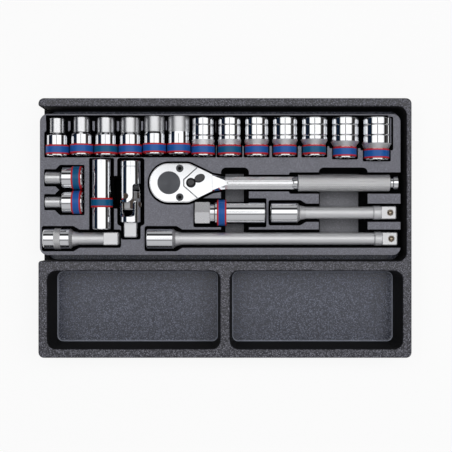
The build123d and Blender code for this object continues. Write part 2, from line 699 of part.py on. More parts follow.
def ratchet_body():
    head = extrude(Plane.XY.offset(-HEAD_DROP) * head_plan(), HEAD_DROP + HEAD_DECK)
    head = fillet(head.faces().sort_by(Axis.Z)[0].edges(), HEAD_EDGE)
    body = head + handle()
    around = Rectangle(4 * HEAD_RADIUS, 4 * HEAD_RADIUS) - lever_notch()
    ledge = extrude(Plane.XY.offset(HEAD_LEDGE) * around, COVER_TOP)
    cavity = upright(GEAR_TIP + GEAR_ROOM, GEAR_LOW - PAWL_PLAY, COVER_TOP)
    boss_hole = upright(GEAR_BOSS_RADIUS + GEAR_PLAY, -HEAD_DROP - 1, GEAR_LOW)
    slot = extrude(Plane.XY.offset(GEAR_LOW - PAWL_PLAY) * pawl_room(), GEAR_HIGH - GEAR_LOW + 2 * PAWL_PLAY)
    shaft_hole = Pos(PAWL_AT, 0, 0) * upright(LEVER_SHAFT_RADIUS + LEVER_PLAY, 0, COVER_TOP)
    thread = upright(SCREW_RADIUS + SCREW_PLAY, HEAD_LEDGE - SCREW_LENGTH, COVER_TOP)
    return body - [ledge, cavity, boss_hole, slot, shaft_hole, *[at * thread for at in screw_places()]]


def countersunk(radius, head_radius, low, high):
    """A countersunk screw's outline about Z, from its tip to its flat head."""
    slope = head_radius - radius
    points = [(0, low), (radius, low), (radius, high - slope), (head_radius, high), (0, high)]
    return revolve(Plane.XZ * make_face(Polyline(*points, close=True)), Axis.Z)


def ratchet_cover():
    """Plate over the gear, with a round window for the gear's hub and two countersinks."""
    plan = head_plan(COVER_INSET) - lever_notch(COVER_GAP) - Circle(GEAR_HUB_RADIUS + GEAR_PLAY)
    plate = extrude(Plane.XY.offset(HEAD_LEDGE) * plan, COVER_TOP - HEAD_LEDGE)
    rim = plate.faces().sort_by(Axis.Z)[-1].outer_wire().edges()
    in_notch = rim.filter_by(lambda e: e.center().X > NOTCH_AT - 1 and abs(e.center().Y) < NOTCH_SPREAD / 1.4)
    plate = chamfer(in_notch, NOTCH_EDGE)
    around = plate.faces().sort_by(Axis.Z)[-1].outer_wire().edges()
    plate = chamfer(around.filter_by(lambda e: e.center().X < NOTCH_AT - NOTCH_EDGE - 1), COVER_EDGE)
    head, shank = SCREW_HEAD_RADIUS + SCREW_PLAY, SCREW_RADIUS + SCREW_PLAY
    return plate - [at * countersunk(shank, head, 0, COVER_TOP + 0.001) for at in screw_places()]


def cover_screws():
    screw = countersunk(SCREW_RADIUS, SCREW_HEAD_RADIUS, HEAD_LEDGE - SCREW_LENGTH + SCREW_PLAY, COVER_TOP)
    driver = extrude(
        Plane.XY.offset(COVER_TOP - SCREW_RECESS) * RegularPolygon(SCREW_HEXAGON, 6), 2 * SCREW_RECESS
    )
    near, far = [at * (screw - driver) for at in screw_places()]
    return near + far


def drive_gear():
    """Gear, hub, bearing boss and male square in one piece."""
    step = 2 * math.pi / GEAR_TEETH
    points = []
    for n in range(GEAR_TEETH):
        for radius, angle in ((GEAR_TIP, n * step), (GEAR_ROOT, (n + 0.5) * step)):
            points.append((radius * math.cos(angle), radius * math.sin(angle)))
    outline = make_face(Polyline(*points, close=True))
    teeth = extrude(Plane.XY.offset(GEAR_LOW) * outline, GEAR_HIGH - GEAR_LOW)
    hub = upright(GEAR_HUB_RADIUS, GEAR_HIGH, COVER_TOP - GEAR_HUB_BELOW_COVER)
    boss = upright(GEAR_BOSS_RADIUS, -HEAD_DROP - GEAR_BOSS_PROUD, GEAR_LOW)
    square = DRIVE_DOWN * male_square(0, DRIVE_LENGTH)
    return teeth + hub + boss + square - GEAR_BALL * ball_hole()


DRIVE_DOWN = Pos(0, 0, -HEAD_DROP - GEAR_BOSS_PROUD) * Rot(0, 90, 0)
GEAR_BALL = DRIVE_DOWN * on_square(DRIVE_LENGTH, 0)


def polar(radius, degrees):
    return (radius * math.cos(math.radians(degrees)), radius * math.sin(math.radians(degrees)))


def pawl_tooth(side):
    middle = side * PAWL_TIP_ANGLE
    base = [polar(PAWL_FACE_RADIUS, middle + turn) for turn in (-PAWL_TIP_SPREAD, PAWL_TIP_SPREAD)]
    return make_face(Polyline(polar(PAWL_TIP_RADIUS, middle), *base, close=True))


def pawl_plan():
    """Rocker with a tooth at each end, before it is rocked, and with its bore."""
    end_angle = PAWL_TIP_ANGLE + PAWL_TIP_SPREAD
    heel, half = PAWL_AT + PAWL_HUB_RADIUS * 0.6, PAWL_HUB_RADIUS * 0.8
    ends = [polar(PAWL_FACE_RADIUS, -end_angle), polar(PAWL_FACE_RADIUS, end_angle)]
    web = make_face(Polyline(*ends, (heel, half), (heel, -half), close=True))
    web -= Circle(PAWL_FACE_RADIUS - 0.05)
    body = web + Pos(PAWL_AT, 0) * Circle(PAWL_HUB_RADIUS) + pawl_tooth(1) + pawl_tooth(-1)
    return body - Pos(PAWL_AT, 0) * Circle(LEVER_SHAFT_RADIUS + LEVER_PLAY)


def pawl_room():
    """Plan of the slot in the head that the pawl rocks in."""
    half = PAWL_HEEL + PAWL_ROOM
    back = PAWL_AT + PAWL_HUB_RADIUS + PAWL_ROOM
    points = [(0, half), (PAWL_AT - PAWL_HUB_RADIUS, half), (back, PAWL_HUB_RADIUS + PAWL_ROOM)]
    return make_face(Polyline(*points, *[(x, -y) for x, y in reversed(points)], close=True))


def pawl():
    """The pawl as it lies at rest, rocked until its upper tooth is in the gear."""
    flat = extrude(Plane.XY.offset(GEAR_LOW) * pawl_plan(), GEAR_HIGH - GEAR_LOW)
    return Pos(PAWL_AT, 0, 0) * Rot(0, 0, PAWL_ROCK) * Pos(-PAWL_AT, 0, 0) * flat


def reversing_lever():
    """Round knob with an oval thumb tab, and the shaft that the pawl rocks on."""
    base = HEAD_DECK + LEVER_LIFT
    knob = upright(LEVER_KNOB_RADIUS, base, base + LEVER_KNOB_HEIGHT)
    knob = fillet(knob.faces().sort_by(Axis.Z)[-1].edges(), LEVER_KNOB_EDGE)
    oval = Pos(LEVER_TAB_REACH, 0) * Ellipse(LEVER_TAB_LENGTH / 2, LEVER_TAB_WIDTH / 2)
    tab = extrude(Plane.XY.offset(base) * oval, LEVER_TAB_HEIGHT)
    tab = fillet(tab.faces().sort_by(Axis.Z)[-1].edges(), LEVER_TAB_HEIGHT / 3)
    web = Pos(LEVER_TAB_REACH / 2, 0) * Rectangle(LEVER_TAB_REACH, LEVER_SHAFT_RADIUS)
    bridge = extrude(Plane.XY.offset(base) * web, LEVER_TAB_HEIGHT * 0.7)
    shaft = upright(LEVER_SHAFT_RADIUS, GEAR_LOW, base + 1)
    return Pos(PAWL_AT, 0, 0) * Rot(0, 0, LEVER_ANGLE) * (knob + tab + bridge + shaft)


def ratchet_pieces():
    return {
        "ratchet_body": ratchet_body(),
        "ratchet_cover": ratchet_cover(),
        "ratchet_cover_screws": cover_screws(),
        "ratchet_drive_gear": drive_gear(),
        "ratchet_pawl": pawl(),
        "ratchet_reversing_lever": reversing_lever(),
        "ratchet_ball": GEAR_BALL * detent_ball(),
        "ratchet_spring": GEAR_BALL * detent_spring(),
    }


# Where each tool lies


ROW_TURN = Rot(0, 0, -90)
SOCKET_AT = {
    size: in_tray(ROW_X[size], ROW_FRONT_Y - ROW_SLIDE.get(size, 0)) * ROW_TURN for size in ROW_SIZES
}
SOCKET_AT.update({size: in_tray(SIDE_ROW_X, SIDE_ROW_Y[size]) for size in SIDE_SIZES})
PLUG_AT = {
    SLIM_PLUG: in_tray(SLIM_PLUG_X, SLIM_PLUG_Y) * ROW_TURN,
    WIDE_PLUG: in_tray(WIDE_PLUG_RIGHT, MIDDLE_Y) * Rot(0, 0, 180),
}
BAR_AT = {
    SHORT_BAR: in_tray(BAR_LEFT_MARGIN, BOTTOM_Y),
    MIDDLE_BAR: in_tray(MIDDLE_BAR_X, MIDDLE_Y),
    LONG_BAR: in_tray(LONG_BAR_X, BOTTOM_Y),
}
BAR_ROLL = {SHORT_BAR: 90, MIDDLE_BAR: 0, LONG_BAR: 0}
JOINT_AT = in_tray(JOINT_X, JOINT_Y) * ROW_TURN
RATCHET_AT = in_tray(GEAR_X, RATCHET_Y)


# Insert tray: a moulded sheet with a cup under each pocket, open underneath


def shadow(points):
    """Plan of a tool, or a stretch of one, from (distance along the axis, half width) points."""
    mirrored = [(x, -y) for x, y in reversed(points)]
    return make_face(Polyline(*points, *mirrored, close=True))


def flat_place(place):
    """The same place at Z = 0, for plans."""
    return Pos(0, 0, -place.position.Z) * place


def stretch(place, points, radius, room, under=SEAT_GAP):
    """One pocket: a plan of a stretch of a tool with room round it, and its floor under that radius."""
    return flat_place(place) * offset(shadow(points), room), AXIS_Z - radius - under


def socket_pockets():
    """A pocket for each socket's working end, flared where it meets the wider one for the drive end."""
    pockets = []
    for size, place in SOCKET_AT.items():
        front, drive = front_diameter(size) / 2, sleeve_diameter(size) / 2
        end = socket_length(size) + ROW_SLIDE.get(size, 0)
        if front < drive:
            step, room = SLIM_FRONT, SOCKET_ROOM
            in_row = drive + ROW_CLOSE_GAP / 2 - ROW_RIB / 2 - SOCKET_ROOM
            half = max(front, in_row) if size in ROW_SIZES else front + TOOL_ROOM - SOCKET_ROOM
            flare = max(drive - half, 0)
            points = [(0, half), (step - flare, half), (step, half + flare)]
        else:
            step, room = WIDE_FRONT + WIDE_TAPER + EXTRA_LENGTH.get(size, 0), WIDE_FRONT_ROOM
            points = [(0, front), (step, front)]
        pockets.append(stretch(place, points, front, room))
        pockets.append(stretch(place, [(step, drive), (end, drive)], drive, SOCKET_ROOM))
    return pockets


def bar_pockets():
    """A pocket for each bar's head, and one for its shaft that narrows from the head's."""
    pockets = []
    head, shaft = BAR_HEAD_DIAMETER / 2, max(BAR_COLLAR_DIAMETER, DRIVE_SQUARE) / 2
    for length, place in BAR_AT.items():
        past = length if length == SHORT_BAR else length + INSERT_WIDTH
        head_end = BAR_HEAD_LENGTH + BAR_TAPER / 3
        narrow = [(head_end, head), (head_end + BAR_TAPER * 2 / 3, shaft), (past, shaft)]
        pockets.append(stretch(place, [(0, head), (head_end, head)], head, TOOL_ROOM))
        pockets.append(stretch(place, narrow, shaft, TOOL_ROOM))
    return pockets


def joint_pockets():
    """Pockets for the two forks, with room to swing under the second, and for the male square."""
    pin, body, square = YOKE_SOCKET_TO_PIN, YOKE_DIAMETER / 2, HALF_SQUARE + BALL_PROUD
    room = TOOL_ROOM + TURNED_CHAMFER
    narrow = [(YOKE_FOOT, body), (YOKE_FOOT + body - square, square), (YOKE_LENGTH, square)]
    return [
        stretch(JOINT_AT, [(0, body), (pin, body)], body, room),
        stretch(JOINT_AT, [(pin, body), (YOKE_FOOT, body)], body, room, JOINT_SWING_ROOM),
        stretch(JOINT_AT, narrow, square, TOOL_ROOM),
    ]


def tool_pockets():
    """(plan, floor height) of every tool's pocket."""
    pockets = [*socket_pockets(), *bar_pockets(), *joint_pockets(), *ratchet_pockets()]
    for size, place in PLUG_AT.items():
        radius = plug_widest(size) / 2
        pockets.append(stretch(place, [(0, radius), (PLUG_LENGTH, radius)], radius, PLUG_ROOM))
    return pockets


def ratchet_pockets():
    place = flat_place(RATCHET_AT)
    head_floor = AXIS_Z - max(HEAD_DROP, GRIP_DIAMETER / 2) - SEAT_GAP
    tail = RATCHET_LENGTH - HEAD_RADIUS
    neck = shadow([(HEAD_NECK_AT - 1, HEAD_NECK_WIDTH / 2), (HEAD_NECK_AT + NECK_LENGTH, SHANK_WIDTH / 2)])
    shank = shadow([(HEAD_NECK_AT, SHANK_WIDTH / 2), (tail, SHANK_WIDTH / 2)])
    grip_start = tail - GRIP_KNOB - GRIP_GROOVE - GRIP_LENGTH - GRIP_POCKET_LEAD
    grip = shadow([(grip_start, GRIP_DIAMETER / 2), (tail + INSERT_WIDTH, GRIP_DIAMETER / 2)])
    plans = [offset(plan, TOOL_ROOM) for plan in (head_plan() + neck, shank, grip)]
    well_floor = AXIS_Z - HEAD_DROP - GEAR_BOSS_PROUD - DRIVE_LENGTH - DRIVE_TIP_ROOM
    drive_well = Circle(DRIVE_SQUARE / math.sqrt(2) + DRIVE_WELL_ROOM)
    return [(place * plan, head_floor) for plan in plans] + [(place * drive_well, well_floor)]


def row_relief():
    """Trough along the working ends of the row."""
    start, end = ROW_X[ROW_SIZES[0]], ROW_X[ROW_SIZES[-1]]
    radius = front_diameter(ROW_SIZES[0]) / 2
    middle = in_tray((start + end) / 2, ROW_FRONT_Y, 0)
    width = end - start + radius + front_diameter(ROW_SIZES[-1]) / 2
    return middle * Rectangle(width, 2 * ROW_RELIEF), AXIS_Z - radius - SEAT_GAP


def finger_wells():
    """(centre x, centre y, width, length, depth) of each well, from the insert's left and back edges."""
    top = RATCHET_Y - GRIP_DIAMETER / 2 - WELL_ABOVE_HANDLE
    length = BOTTOM_Y - top
    shaft_middle = MIDDLE_BAR_X + (BAR_HEAD_LENGTH + BAR_TAPER + MIDDLE_BAR - DRIVE_LENGTH) / 2
    left = WIDE_PLUG_RIGHT - PLUG_LENGTH / 2 + LEFT_WELL_SHIFT
    deep = INSERT_HEIGHT - INSERT_WALL
    side_x = (SLIM_PLUG_X + plug_diameter(SLIM_PLUG) / 2 + JOINT_X - YOKE_DIAMETER / 2) / 2
    side_width = PLUG_TO_JOINT + SIDE_WELL_DEPTH * math.tan(math.radians(WELL_TAPER))
    side_y = JOINT_Y + SIDE_WELL_FROM_TOP + SIDE_WELL_LENGTH / 2
    return {
        "left": (left, top + length / 2, LEFT_WELL_WIDTH, length, deep),
        "right": (shaft_middle, top + length / 2, RIGHT_WELL_WIDTH, length, deep),
        "side": (side_x, side_y, side_width, SIDE_WELL_LENGTH, SIDE_WELL_DEPTH),
    }


def insert_outline(inset=0.0):
    width, depth = INSERT_WIDTH - 2 * inset, INSERT_DEPTH - 2 * inset
    plan = RectangleRounded(width, depth, INSERT_CORNER - inset)
    return in_tray(INSERT_WIDTH / 2, INSERT_DEPTH / 2, 0) * plan


def insert_tray():
    """Top sheet, skirt and cups in one moulding, its skirt short at the left over the carrier's low wall."""
    low = CARRIER_WALL
    block = extrude(Plane.XY.offset(low) * insert_outline(), INSERT_HEIGHT)
    block = fillet(block.faces().sort_by(Axis.Z)[-1].edges(), INSERT_EDGE)
    hollow = extrude(Plane.XY.offset(low - 1) * insert_outline(INSERT_WALL), INSERT_HEIGHT + 1 - INSERT_WALL)
    pockets = [*tool_pockets(), row_relief()]
    cups, cuts = [], []
    for plan, floor in pockets:
        depth = INSERT_TOP - floor
        cups.append(extrude(Plane.XY.offset(floor - INSERT_WALL) * offset(plan, INSERT_WALL), depth))
        cuts.append(extrude(Plane.XY.offset(floor) * plan, depth + INSERT_EDGE))
    for x, y, width, length, depth in finger_wells().values():
        mouth = in_tray(x, y, INSERT_TOP) * RectangleRounded(width, length, WELL_CORNER)
        rim = in_tray(x, y, INSERT_TOP) * RectangleRounded(
            width + 2 * INSERT_WALL, length + 2 * INSERT_WALL, WELL_CORNER + INSERT_WALL
        )
        cups.append(extrude(rim, -depth - INSERT_WALL, taper=WELL_TAPER))
        cuts.append(extrude(mouth, -depth, taper=WELL_TAPER))
        cuts.append(extrude(mouth, INSERT_EDGE))
    lip_width = LEFT_LIP + INSERT_WALL
    lip_room = Pos(INSERT_LEFT + lip_width / 2 - 1, INSERT_BACK - INSERT_DEPTH / 2, 0) * Box(
        lip_width, INSERT_DEPTH + 2, 2 * (LEFT_WALL_HEIGHT + LEFT_LIP_ABOVE_WALL)
    )
    solid_cups = (cups[0] + cups[1:]) & block
    return block - hollow + solid_cups - cuts - lip_room


# Carrier tray


def carrier_compartments():
    """Plans of the two open compartments."""
    width = (CARRIER_WIDTH - 2 * RIM_SIDE - DIVIDER) / 2
    y = -CARRIER_DEPTH / 2 + RIM_FRONT + COMPARTMENT_DEPTH / 2
    shift = (width + DIVIDER) / 2
    plan = RectangleRounded(width, COMPARTMENT_DEPTH, COMPARTMENT_CORNER)
    return [Pos(side * shift, y) * plan for side in (-1, 1)]


def insert_pocket(grow=0.0):
    """Plan of the pocket for the insert tray. It runs on past the left wall, which is cut down."""
    back = CARRIER_DEPTH / 2 - RIM_BACK + grow
    front = INSERT_BACK - INSERT_DEPTH - GAP_FRONT - grow
    right = CARRIER_WIDTH / 2 - RIM_BESIDE_INSERT + grow
    left = -CARRIER_WIDTH / 2 + CARRIER_WALL - grow
    middle = Pos((left + right) / 2, (back + front) / 2)
    return middle * RectangleRounded(right - left, back - front, COMPARTMENT_CORNER + grow)


def cut_out_plan():
    """Plan of the gap in the left wall beside the insert, flared so that the rim's two ends are rounded."""
    back = CARRIER_DEPTH / 2 - RIM_BACK
    front = INSERT_BACK - INSERT_DEPTH - GAP_FRONT
    left, r = -CARRIER_WIDTH / 2, CUT_OUT_CORNER
    plan = Pos(left, (back + front) / 2) * Rectangle(4 * COMPARTMENT_CORNER, back - front)
    plan += Pos(left - r, (back + front) / 2) * Rectangle(2 * r, back - front + 2 * r)
    for y, side in ((back, 1), (front, -1)):
        corner = Pos(left + r / 2, y + side * r / 2) * Rectangle(r, r)
        plan += corner - Pos(left + r, y + side * r) * Circle(r)
    return plan


def carrier_block():
    """Outside of the carrier tray as one block, with its left wall cut down beside the insert."""
    block = extrude(RectangleRounded(CARRIER_WIDTH, CARRIER_DEPTH, CARRIER_CORNER), CARRIER_HEIGHT)
    rim = Plane.XY.offset(CARRIER_HEIGHT)
    return block - extrude(rim * cut_out_plan(), LEFT_WALL_HEIGHT - CARRIER_HEIGHT)


def carrier_tray():
    """Rim, skirt and three drafted cups in one moulding."""
    inner = RectangleRounded(
        CARRIER_WIDTH - 2 * CARRIER_WALL, CARRIER_DEPTH - 2 * CARRIER_WALL, CARRIER_CORNER - CARRIER_WALL
    )
    block = carrier_block()
    shell = block - extrude(inner, CARRIER_HEIGHT - CARRIER_WALL)
    rim = Plane.XY.offset(CARRIER_HEIGHT)
    deep = CARRIER_HEIGHT - CARRIER_WALL
    cuts = []
    for plan in carrier_compartments():
        shell += extrude(rim * offset(plan, CARRIER_WALL), -CARRIER_HEIGHT, taper=COMPARTMENT_DRAFT) & block
        room = extrude(rim * plan, -deep, taper=COMPARTMENT_DRAFT)
        cuts.append(fillet(room.faces().sort_by(Axis.Z)[0].edges(), COMPARTMENT_FLOOR_EDGE))
    shell += extrude(rim * insert_pocket(CARRIER_WALL), -CARRIER_HEIGHT) & block
    cuts.append(extrude(rim * insert_pocket(), -deep))
    tray = shell - cuts
    return fillet(tray.faces().sort_by(Axis.Z)[-1].edges(), CARRIER_EDGE)


# Every piece, by name


def socket_pieces():
    pieces = {}
    for size, place in SOCKET_AT.items():
        pieces[f"socket_{size:02d}mm"] = place * socket_body(size)
        pieces[f"sleeve_{size:02d}mm"] = place * socket_sleeve(size)
    return pieces


def plug_pieces():
    pieces = {}
    for size, place in PLUG_AT.items():
        pieces[f"plug_socket_{size}mm"] = place * plug_body(size)
        pieces[f"plug_sleeve_{size}mm"] = place * plug_sleeve(size)
        pieces[f"plug_grip_{size}mm"] = place * plug_grip(size)
    return pieces


def bar_pieces():
    pieces = {}
    for length, place in BAR_AT.items():
        roll = BAR_ROLL[length]
        tip = place * on_square(length, roll)
        pieces[f"extension_{length}mm"] = place * bar_body(length, roll)
        pieces[f"extension_{length}mm_ball"] = tip * detent_ball()
        pieces[f"extension_{length}mm_spring"] = tip * detent_spring()
    return pieces


def all_pieces():
    pieces = {"carrier_tray": carrier_tray(), "insert_tray": insert_tray()}
    pieces.update(socket_pieces())
    pieces.update(plug_pieces())
    pieces.update(bar_pieces())
    pieces.update({name: JOINT_AT * piece for name, piece in joint_pieces().items()})
    pieces.update({name: RATCHET_AT * piece for name, piece in ratchet_pieces().items()})
    return pieces


def main():
    os.makedirs("parts", exist_ok=True)
    for name, piece in all_pieces().items():
        export_step(piece, f"parts/{name}.step")
    print(f"tray {CARRIER_WIDTH:.1f} x {CARRIER_DEPTH:.1f} x {CARRIER_HEIGHT:.1f} mm")


if __name__ == "__main__":
    main()
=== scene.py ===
# %% [markdown]
# # A socket wrench set in its open tray
# The CAD model already gives every piece its shape and its place. This lesson dresses it: each
# cell gives one kind of surface its finish, or adds a form that is too fine for the solids, such
# as the knurl on the handle. The camera, the light and the pale ground come first, so that every
# finish can be judged as it is made.

# %% Load the fixed frame
import math

import bpy
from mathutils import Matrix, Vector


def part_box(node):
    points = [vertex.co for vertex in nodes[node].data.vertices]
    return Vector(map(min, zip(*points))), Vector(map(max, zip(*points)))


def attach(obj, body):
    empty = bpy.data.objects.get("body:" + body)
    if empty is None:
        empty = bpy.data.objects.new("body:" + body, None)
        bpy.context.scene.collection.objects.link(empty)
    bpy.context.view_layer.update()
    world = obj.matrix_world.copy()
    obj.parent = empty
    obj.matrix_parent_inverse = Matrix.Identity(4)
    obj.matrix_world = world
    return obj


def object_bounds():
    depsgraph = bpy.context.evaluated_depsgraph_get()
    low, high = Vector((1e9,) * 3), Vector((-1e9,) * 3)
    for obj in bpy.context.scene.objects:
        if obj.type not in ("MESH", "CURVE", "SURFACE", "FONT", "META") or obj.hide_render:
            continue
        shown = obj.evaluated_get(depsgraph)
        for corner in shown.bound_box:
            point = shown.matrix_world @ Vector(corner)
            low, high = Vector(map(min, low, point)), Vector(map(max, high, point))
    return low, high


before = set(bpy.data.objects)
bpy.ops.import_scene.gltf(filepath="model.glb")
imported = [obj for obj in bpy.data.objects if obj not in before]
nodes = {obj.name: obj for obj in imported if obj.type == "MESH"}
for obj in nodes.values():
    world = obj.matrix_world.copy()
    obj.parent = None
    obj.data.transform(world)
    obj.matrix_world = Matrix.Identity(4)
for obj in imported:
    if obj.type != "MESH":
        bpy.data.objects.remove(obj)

cad_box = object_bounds()

# %% [markdown]
# ## Camera
# The photograph looks straight down. Seen this way the rims of the two compartments stand about
# ten pixels outside their floors at the far sides, and hardly at all near the middle. That
# difference gives the camera's height, and the size of the tray in the picture then gives the
# lens. Guessing both by eye would also fill the frame, but the walls would show too much or too
# little.

# %% Camera straight above the tray
PHOTO_SIDE = 452
FOCAL_PIXELS = 840.0
SENSOR_MM = 36.0
CAMERA_AT = (0.001, 0.002, 0.877)

bpy.ops.object.select_all(action="DESELECT")
bpy.ops.object.camera_add(location=CAMERA_AT, rotation=(0, 0, 0))
camera = bpy.context.object
camera.data.sensor_width = SENSOR_MM
camera.data.lens = FOCAL_PIXELS / PHOTO_SIDE * SENSOR_MM
bpy.context.scene.camera = camera
bpy.context.scene.view_settings.view_transform = "Standard"
print("lens:", round(camera.data.lens, 1), "mm")

# %% [markdown]
# ## Node helpers
# A material is a small graph. It can be drawn by hand in the node editor, or written down as
# here, so that it comes out the same each time. These helpers keep the graphs short to read: they
# add a node with the values on its own sockets, link two nodes, open a group or a material, and
# mix two colours by a mask. A Mix node has sockets for every kind of data, so its colour sockets
# are called by number.

# %% Node helpers
MM = 0.001
MIX_FIRST, MIX_SECOND, MIX_COLOUR = 6, 7, 2


def add_node(tree, kind, values=None, **settings):
    """A new node with its settings and the values on its own sockets."""
    node = tree.nodes.new(kind)
    for name, value in settings.items():
        setattr(node, name, value)
    for name, value in (values or {}).items():
        node.inputs[name].default_value = value
    return node


def link(tree, source, output, target, socket):
    """Joins an output of one node to an input of another."""
    tree.links.new(source.outputs[output], target.inputs[socket])


def new_group(name, inputs, outputs):
    """An empty shader node group with named sockets, and its two end nodes."""
    tree = bpy.data.node_groups.new(name, "ShaderNodeTree")
    kinds = {"value": "NodeSocketFloat", "vector": "NodeSocketVector"}
    for label, kind in inputs.items():
        tree.interface.new_socket(name=label, in_out="INPUT", socket_type=kinds[kind])
    for label, kind in outputs.items():
        tree.interface.new_socket(name=label, in_out="OUTPUT", socket_type=kinds[kind])
    return tree, add_node(tree, "NodeGroupInput"), add_node(tree, "NodeGroupOutput")


def use_group(tree, group, values=None):
    """A node that runs a group, with the values of its inputs."""
    return add_node(tree, "ShaderNodeGroup", values, node_tree=group)


def new_finish(name, **values):
    """A material with one Principled BSDF, its values set on the shader's own sockets."""
    material = bpy.data.materials.new(name)
    material.use_nodes = True
    tree = material.node_tree
    shader = tree.nodes["Principled BSDF"]
    for label, value in values.items():
        socket = label.replace("_", " ").title().replace("Ior", "IOR")
        shader.inputs[socket].default_value = value
    return material, tree, shader


def two_tones(tree, first, second, mask, output):
    """Goes from one colour to another where a mask says so."""
    tones = {MIX_FIRST: first, MIX_SECOND: second}
    tone = add_node(tree, "ShaderNodeMix", tones, data_type="RGBA")
    link(tree, mask, output, tone, "Factor")
    return tone


def distance_along(tree, place, axis, origin, direction):
    """Millimetres from an origin, measured along one axis of the frame."""
    split = add_node(tree, "ShaderNodeSeparateXYZ")
    link(tree, place, "Object", split, "Vector")
    terms = {1: direction / MM, 2: -direction * origin / MM}
    along = add_node(tree, "ShaderNodeMath", terms, operation="MULTIPLY_ADD")
    link(tree, split, axis, along, 0)
    return along


def wear_finish(material, *names):
    """Gives CAD nodes a finish in place of the plain one they were packed with."""
    for name in names:
        nodes[name].data.materials.clear()
        nodes[name].data.materials.append(material)
    print(material.name, "on", ", ".join(names))


print("helpers ready, one millimetre is", MM)

# %% [markdown]
# ## Pale ground
# The set lies on a white table that runs out of the picture. A large plane can be lit until it is
# white, but then the tools are lit too much as well. Here the plane is an ordinary pale surface to
# the light, so that it takes a soft shadow, and a white one to the lens and to the metal.

# %% Pale ground
GROUND_SIDE = 80.0
GROUND_DROP = 0.0002
GROUND_PALE = (0.9, 0.9, 0.9, 1.0)
GROUND_ROUGH = 0.9
GROUND_WHITE = (1.0, 1.0, 1.0, 1.0)
GROUND_SHADOW_SHARE = 0.12

bpy.ops.object.select_all(action="DESELECT")
ground_at = (0, 0, cad_box[0][2] - GROUND_DROP)
bpy.ops.mesh.primitive_plane_add(size=GROUND_SIDE, location=ground_at)
ground = bpy.context.object
ground.name = "ground"
bpy.ops.object.transform_apply(location=True, rotation=True, scale=True)

material, tree, shader = new_finish("pale_ground", base_color=GROUND_PALE, roughness=GROUND_ROUGH)
path = add_node(tree, "ShaderNodeLightPath")
seen = add_node(tree, "ShaderNodeMath", operation="MAXIMUM")
link(tree, path, "Is Camera Ray", seen, 0)
link(tree, path, "Is Glossy Ray", seen, 1)
seen_through = add_node(tree, "ShaderNodeMath", operation="MAXIMUM")
link(tree, seen, 0, seen_through, 0)
link(tree, path, "Is Transmission Ray", seen_through, 1)
share = add_node(tree, "ShaderNodeMath", {1: 1.0 - GROUND_SHADOW_SHARE}, operation="MULTIPLY")
link(tree, seen_through, 0, share, 0)
white = add_node(tree, "ShaderNodeEmission", {"Color": GROUND_WHITE, "Strength": 1.0})
either = add_node(tree, "ShaderNodeMixShader")
link(tree, share, 0, either, "Fac")
link(tree, shader, "BSDF", either, 1)
link(tree, white, "Emission", either, 2)
link(tree, either, "Shader", tree.nodes["Material Output"], "Surface")
ground.data.materials.append(material)
print("ground:", GROUND_SIDE, "m square")

# %% [markdown]
# ## Room
# Chrome shows nothing of its own, only the room round it. This one is a copy stand under a wide
# softbox with a small gap for the lens. Sockets that lie front to back show how far the softbox
# reaches to each side, the navy and brown dark beyond it, and the lens as a fine dark line. Tools
# that lie left to right show the softbox's depth, a dark gap behind it, and a grey wall in front.
# Such a room could be built from cards and lamps. Drawn by direction in the world, it has every
# edge at its own angle, and nothing stands in the way of the other views.

# %% Colours of the room, by direction
GREY_TINT = 1.02
WHITE = (1.0, 1.0, 1.0, 1.0)
NAVY = (0.005, 0.010, 0.021, 1.0)
BROWN = (0.022, 0.020, 0.019, 1.0)


def grey(level):
    """A grey of the room, with a trace of blue."""
    return (level, level, level * GREY_TINT, 1.0)


# Degrees from straight up, first towards the right and then towards the back, and the colour there
TO_THE_RIGHT = (
    (-70, NAVY),
    (-47, NAVY),
    (-38, WHITE),
    (44, WHITE),
    (54, BROWN),
    (72, BROWN),
    (84, grey(0.16)),
    (100, grey(0.16)),
    (115, BROWN),
)
TO_THE_BACK = (
    (-110, grey(0.10)),
    (-90, grey(0.30)),
    (-60, grey(0.42)),
    (-24, grey(0.42)),
    (-19, grey(0.16)),
    (-13, grey(0.16)),
    (-9, grey(0.40)),
    (-3, WHITE),
    (29, WHITE),
    (35, grey(0.03)),
    (53, grey(0.03)),
    (60, grey(0.34)),
    (92, grey(0.34)),
    (105, grey(0.07)),
)
LENS_DARK = grey(0.08)
LENS_TO_THE_RIGHT = ((-4.6, WHITE), (-3.8, LENS_DARK), (1.8, LENS_DARK), (2.6, WHITE))
LENS_TO_THE_BACK = ((4.0, WHITE), (4.7, LENS_DARK), (9.0, LENS_DARK), (9.8, WHITE))
print("room:", len(TO_THE_RIGHT), "stops to the right,", len(TO_THE_BACK), "to the back")

# %% [markdown]
# ## World
# The world's shader gets a direction and gives a colour. Two colour ramps, one to each side, are
# crossed: multiplied they make the softbox, and the lighter of the two leaves only the lens dark.
# Past the ground's edge the camera sees a plain white backdrop, and only the metal and the plastics
# see the room. A photograph of a room would do as well, but its edges could not be moved.

# %% Ramps over the sky, and two of them crossed
HALF_TURN, FULL_TURN = 180, 360

world = bpy.data.worlds.new("room")
bpy.context.scene.world = world
world.use_nodes = True
tree = world.node_tree
way = add_node(tree, "ShaderNodeTexCoord")
split = add_node(tree, "ShaderNodeSeparateXYZ")
link(tree, way, "Generated", split, "Vector")


